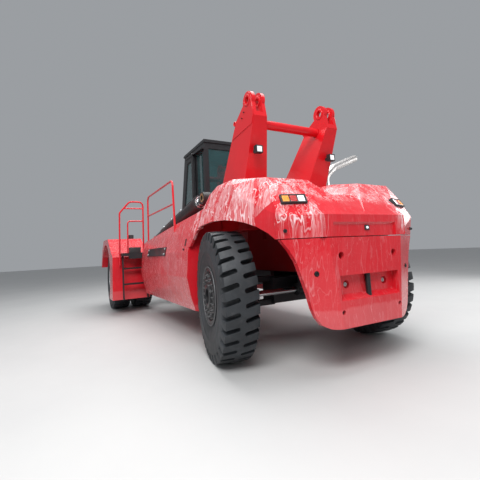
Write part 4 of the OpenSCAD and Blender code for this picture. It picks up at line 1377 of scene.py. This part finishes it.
# Name, place, aim, size and share of the key light's power
LIGHTS = (
    ("key", (-8.5, 5.5, 8.5), (-1, 0, 1.5), (6, 4), 1),
    ("overhead", (0, 0, 9), (0, 0, 0), (12, 6), 0.9),
    ("right_fill", (-4, -9, 4), (0, 0, 1.5), (6, 4), 0.3),
)
SKY = (0.86, 0.9, 0.95, 1)
SKY_STRENGTH = 0.38


def soft_light(name, at, towards, size, power):
    data = bpy.data.lights.new(name, "AREA")
    data.shape = "RECTANGLE"
    data.size, data.size_y = size
    data.energy = power
    lamp = bpy.data.objects.new(name, data)
    bpy.context.scene.collection.objects.link(lamp)
    lamp.location = at
    lamp.rotation_euler = (Vector(towards) - Vector(at)).to_track_quat("-Z", "Y").to_euler()


def camera_place(eye, turn):
    """The camera's matrix, from its place, its turn to the right of +X, its tilt and its roll."""
    yaw, pitch, roll = turn
    ahead = Vector((math.cos(pitch) * math.cos(yaw), -math.cos(pitch) * math.sin(yaw), math.sin(pitch)))
    level = Vector((-math.sin(yaw), -math.cos(yaw), 0))
    upright = level.cross(ahead)
    right = level * math.cos(roll) + upright * math.sin(roll)
    top = upright * math.cos(roll) - level * math.sin(roll)
    return Matrix.Translation(Vector(eye)) @ Matrix((right, top, -ahead)).transposed().to_4x4()


class STACKER_OT_stage(bpy.types.Operator):
    """Adds the floor, the lights and the camera at the photograph's angle"""

    bl_idname = "stacker.stage"
    bl_label = "Stage"

    def execute(self, context):
        scene, stage = context.scene, context.scene.stacker_stage
        choose()
        bpy.ops.mesh.primitive_plane_add(size=120, location=(0, 0, 0))
        floor = bpy.context.object
        floor.name = "floor"
        floor.data.materials.append(FINISHES["floor"])
        scene.world = bpy.data.worlds.new("sky")
        scene.world.use_nodes = True
        sky = scene.world.node_tree.nodes["Background"]
        sky.inputs["Color"].default_value = SKY
        sky.inputs["Strength"].default_value = SKY_STRENGTH
        for name, at, towards, size, share in LIGHTS:
            soft_light(name, at, towards, size, stage.key * share)
        data = bpy.data.cameras.new("camera")
        data.sensor_width = 36
        data.lens = stage.lens
        data.shift_y = stage.shift
        data.dof.use_dof = False
        camera = bpy.data.objects.new("camera", data)
        scene.collection.objects.link(camera)
        camera.matrix_world = camera_place(stage.eye, stage.turn)
        scene.camera = camera
        scene.view_settings.view_transform = "Standard"
        return {"FINISHED"}


# Add-on

OPERATORS = (
    STACKER_OT_finishes, STACKER_OT_tyres, STACKER_OT_wheel_trim, STACKER_OT_lamps, STACKER_OT_posts,
    STACKER_OT_body_fittings, STACKER_OT_deck_fittings, STACKER_OT_lift_fittings, STACKER_OT_cab_fittings,
    STACKER_OT_seat, STACKER_OT_stage,
)
STEPS = tuple(operator.bl_idname for operator in OPERATORS)
GROUPS = {"stacker_paint": StackerPaint, "stacker_wheels": StackerWheels, "stacker_stage": StackerStage}


class STACKER_PT_panel(bpy.types.Panel):
    """Lists the values and the steps in the sidebar"""

    bl_label = "Reach stacker"
    bl_idname = "STACKER_PT_panel"
    bl_space_type = "VIEW_3D"
    bl_region_type = "UI"
    bl_category = "Reach stacker"

    def draw(self, context):
        for name in GROUPS:
            values = getattr(context.scene, name)
            for key in values.__annotations__:
                self.layout.prop(values, key)
        for step in STEPS:
            self.layout.operator(step)


CLASSES = (*GROUPS.values(), *OPERATORS, STACKER_PT_panel)


def register():
    for part in CLASSES:
        bpy.utils.register_class(part)
    for name, group in GROUPS.items():
        setattr(bpy.types.Scene, name, PointerProperty(type=group))


def unregister():
    for name in GROUPS:
        delattr(bpy.types.Scene, name)
    for part in reversed(CLASSES):
        bpy.utils.unregister_class(part)


def main():
    register()
    for step in STEPS:
        group, name = step.split(".")
        getattr(getattr(bpy.ops, group), name)()


if __name__ == "__main__":
    main()
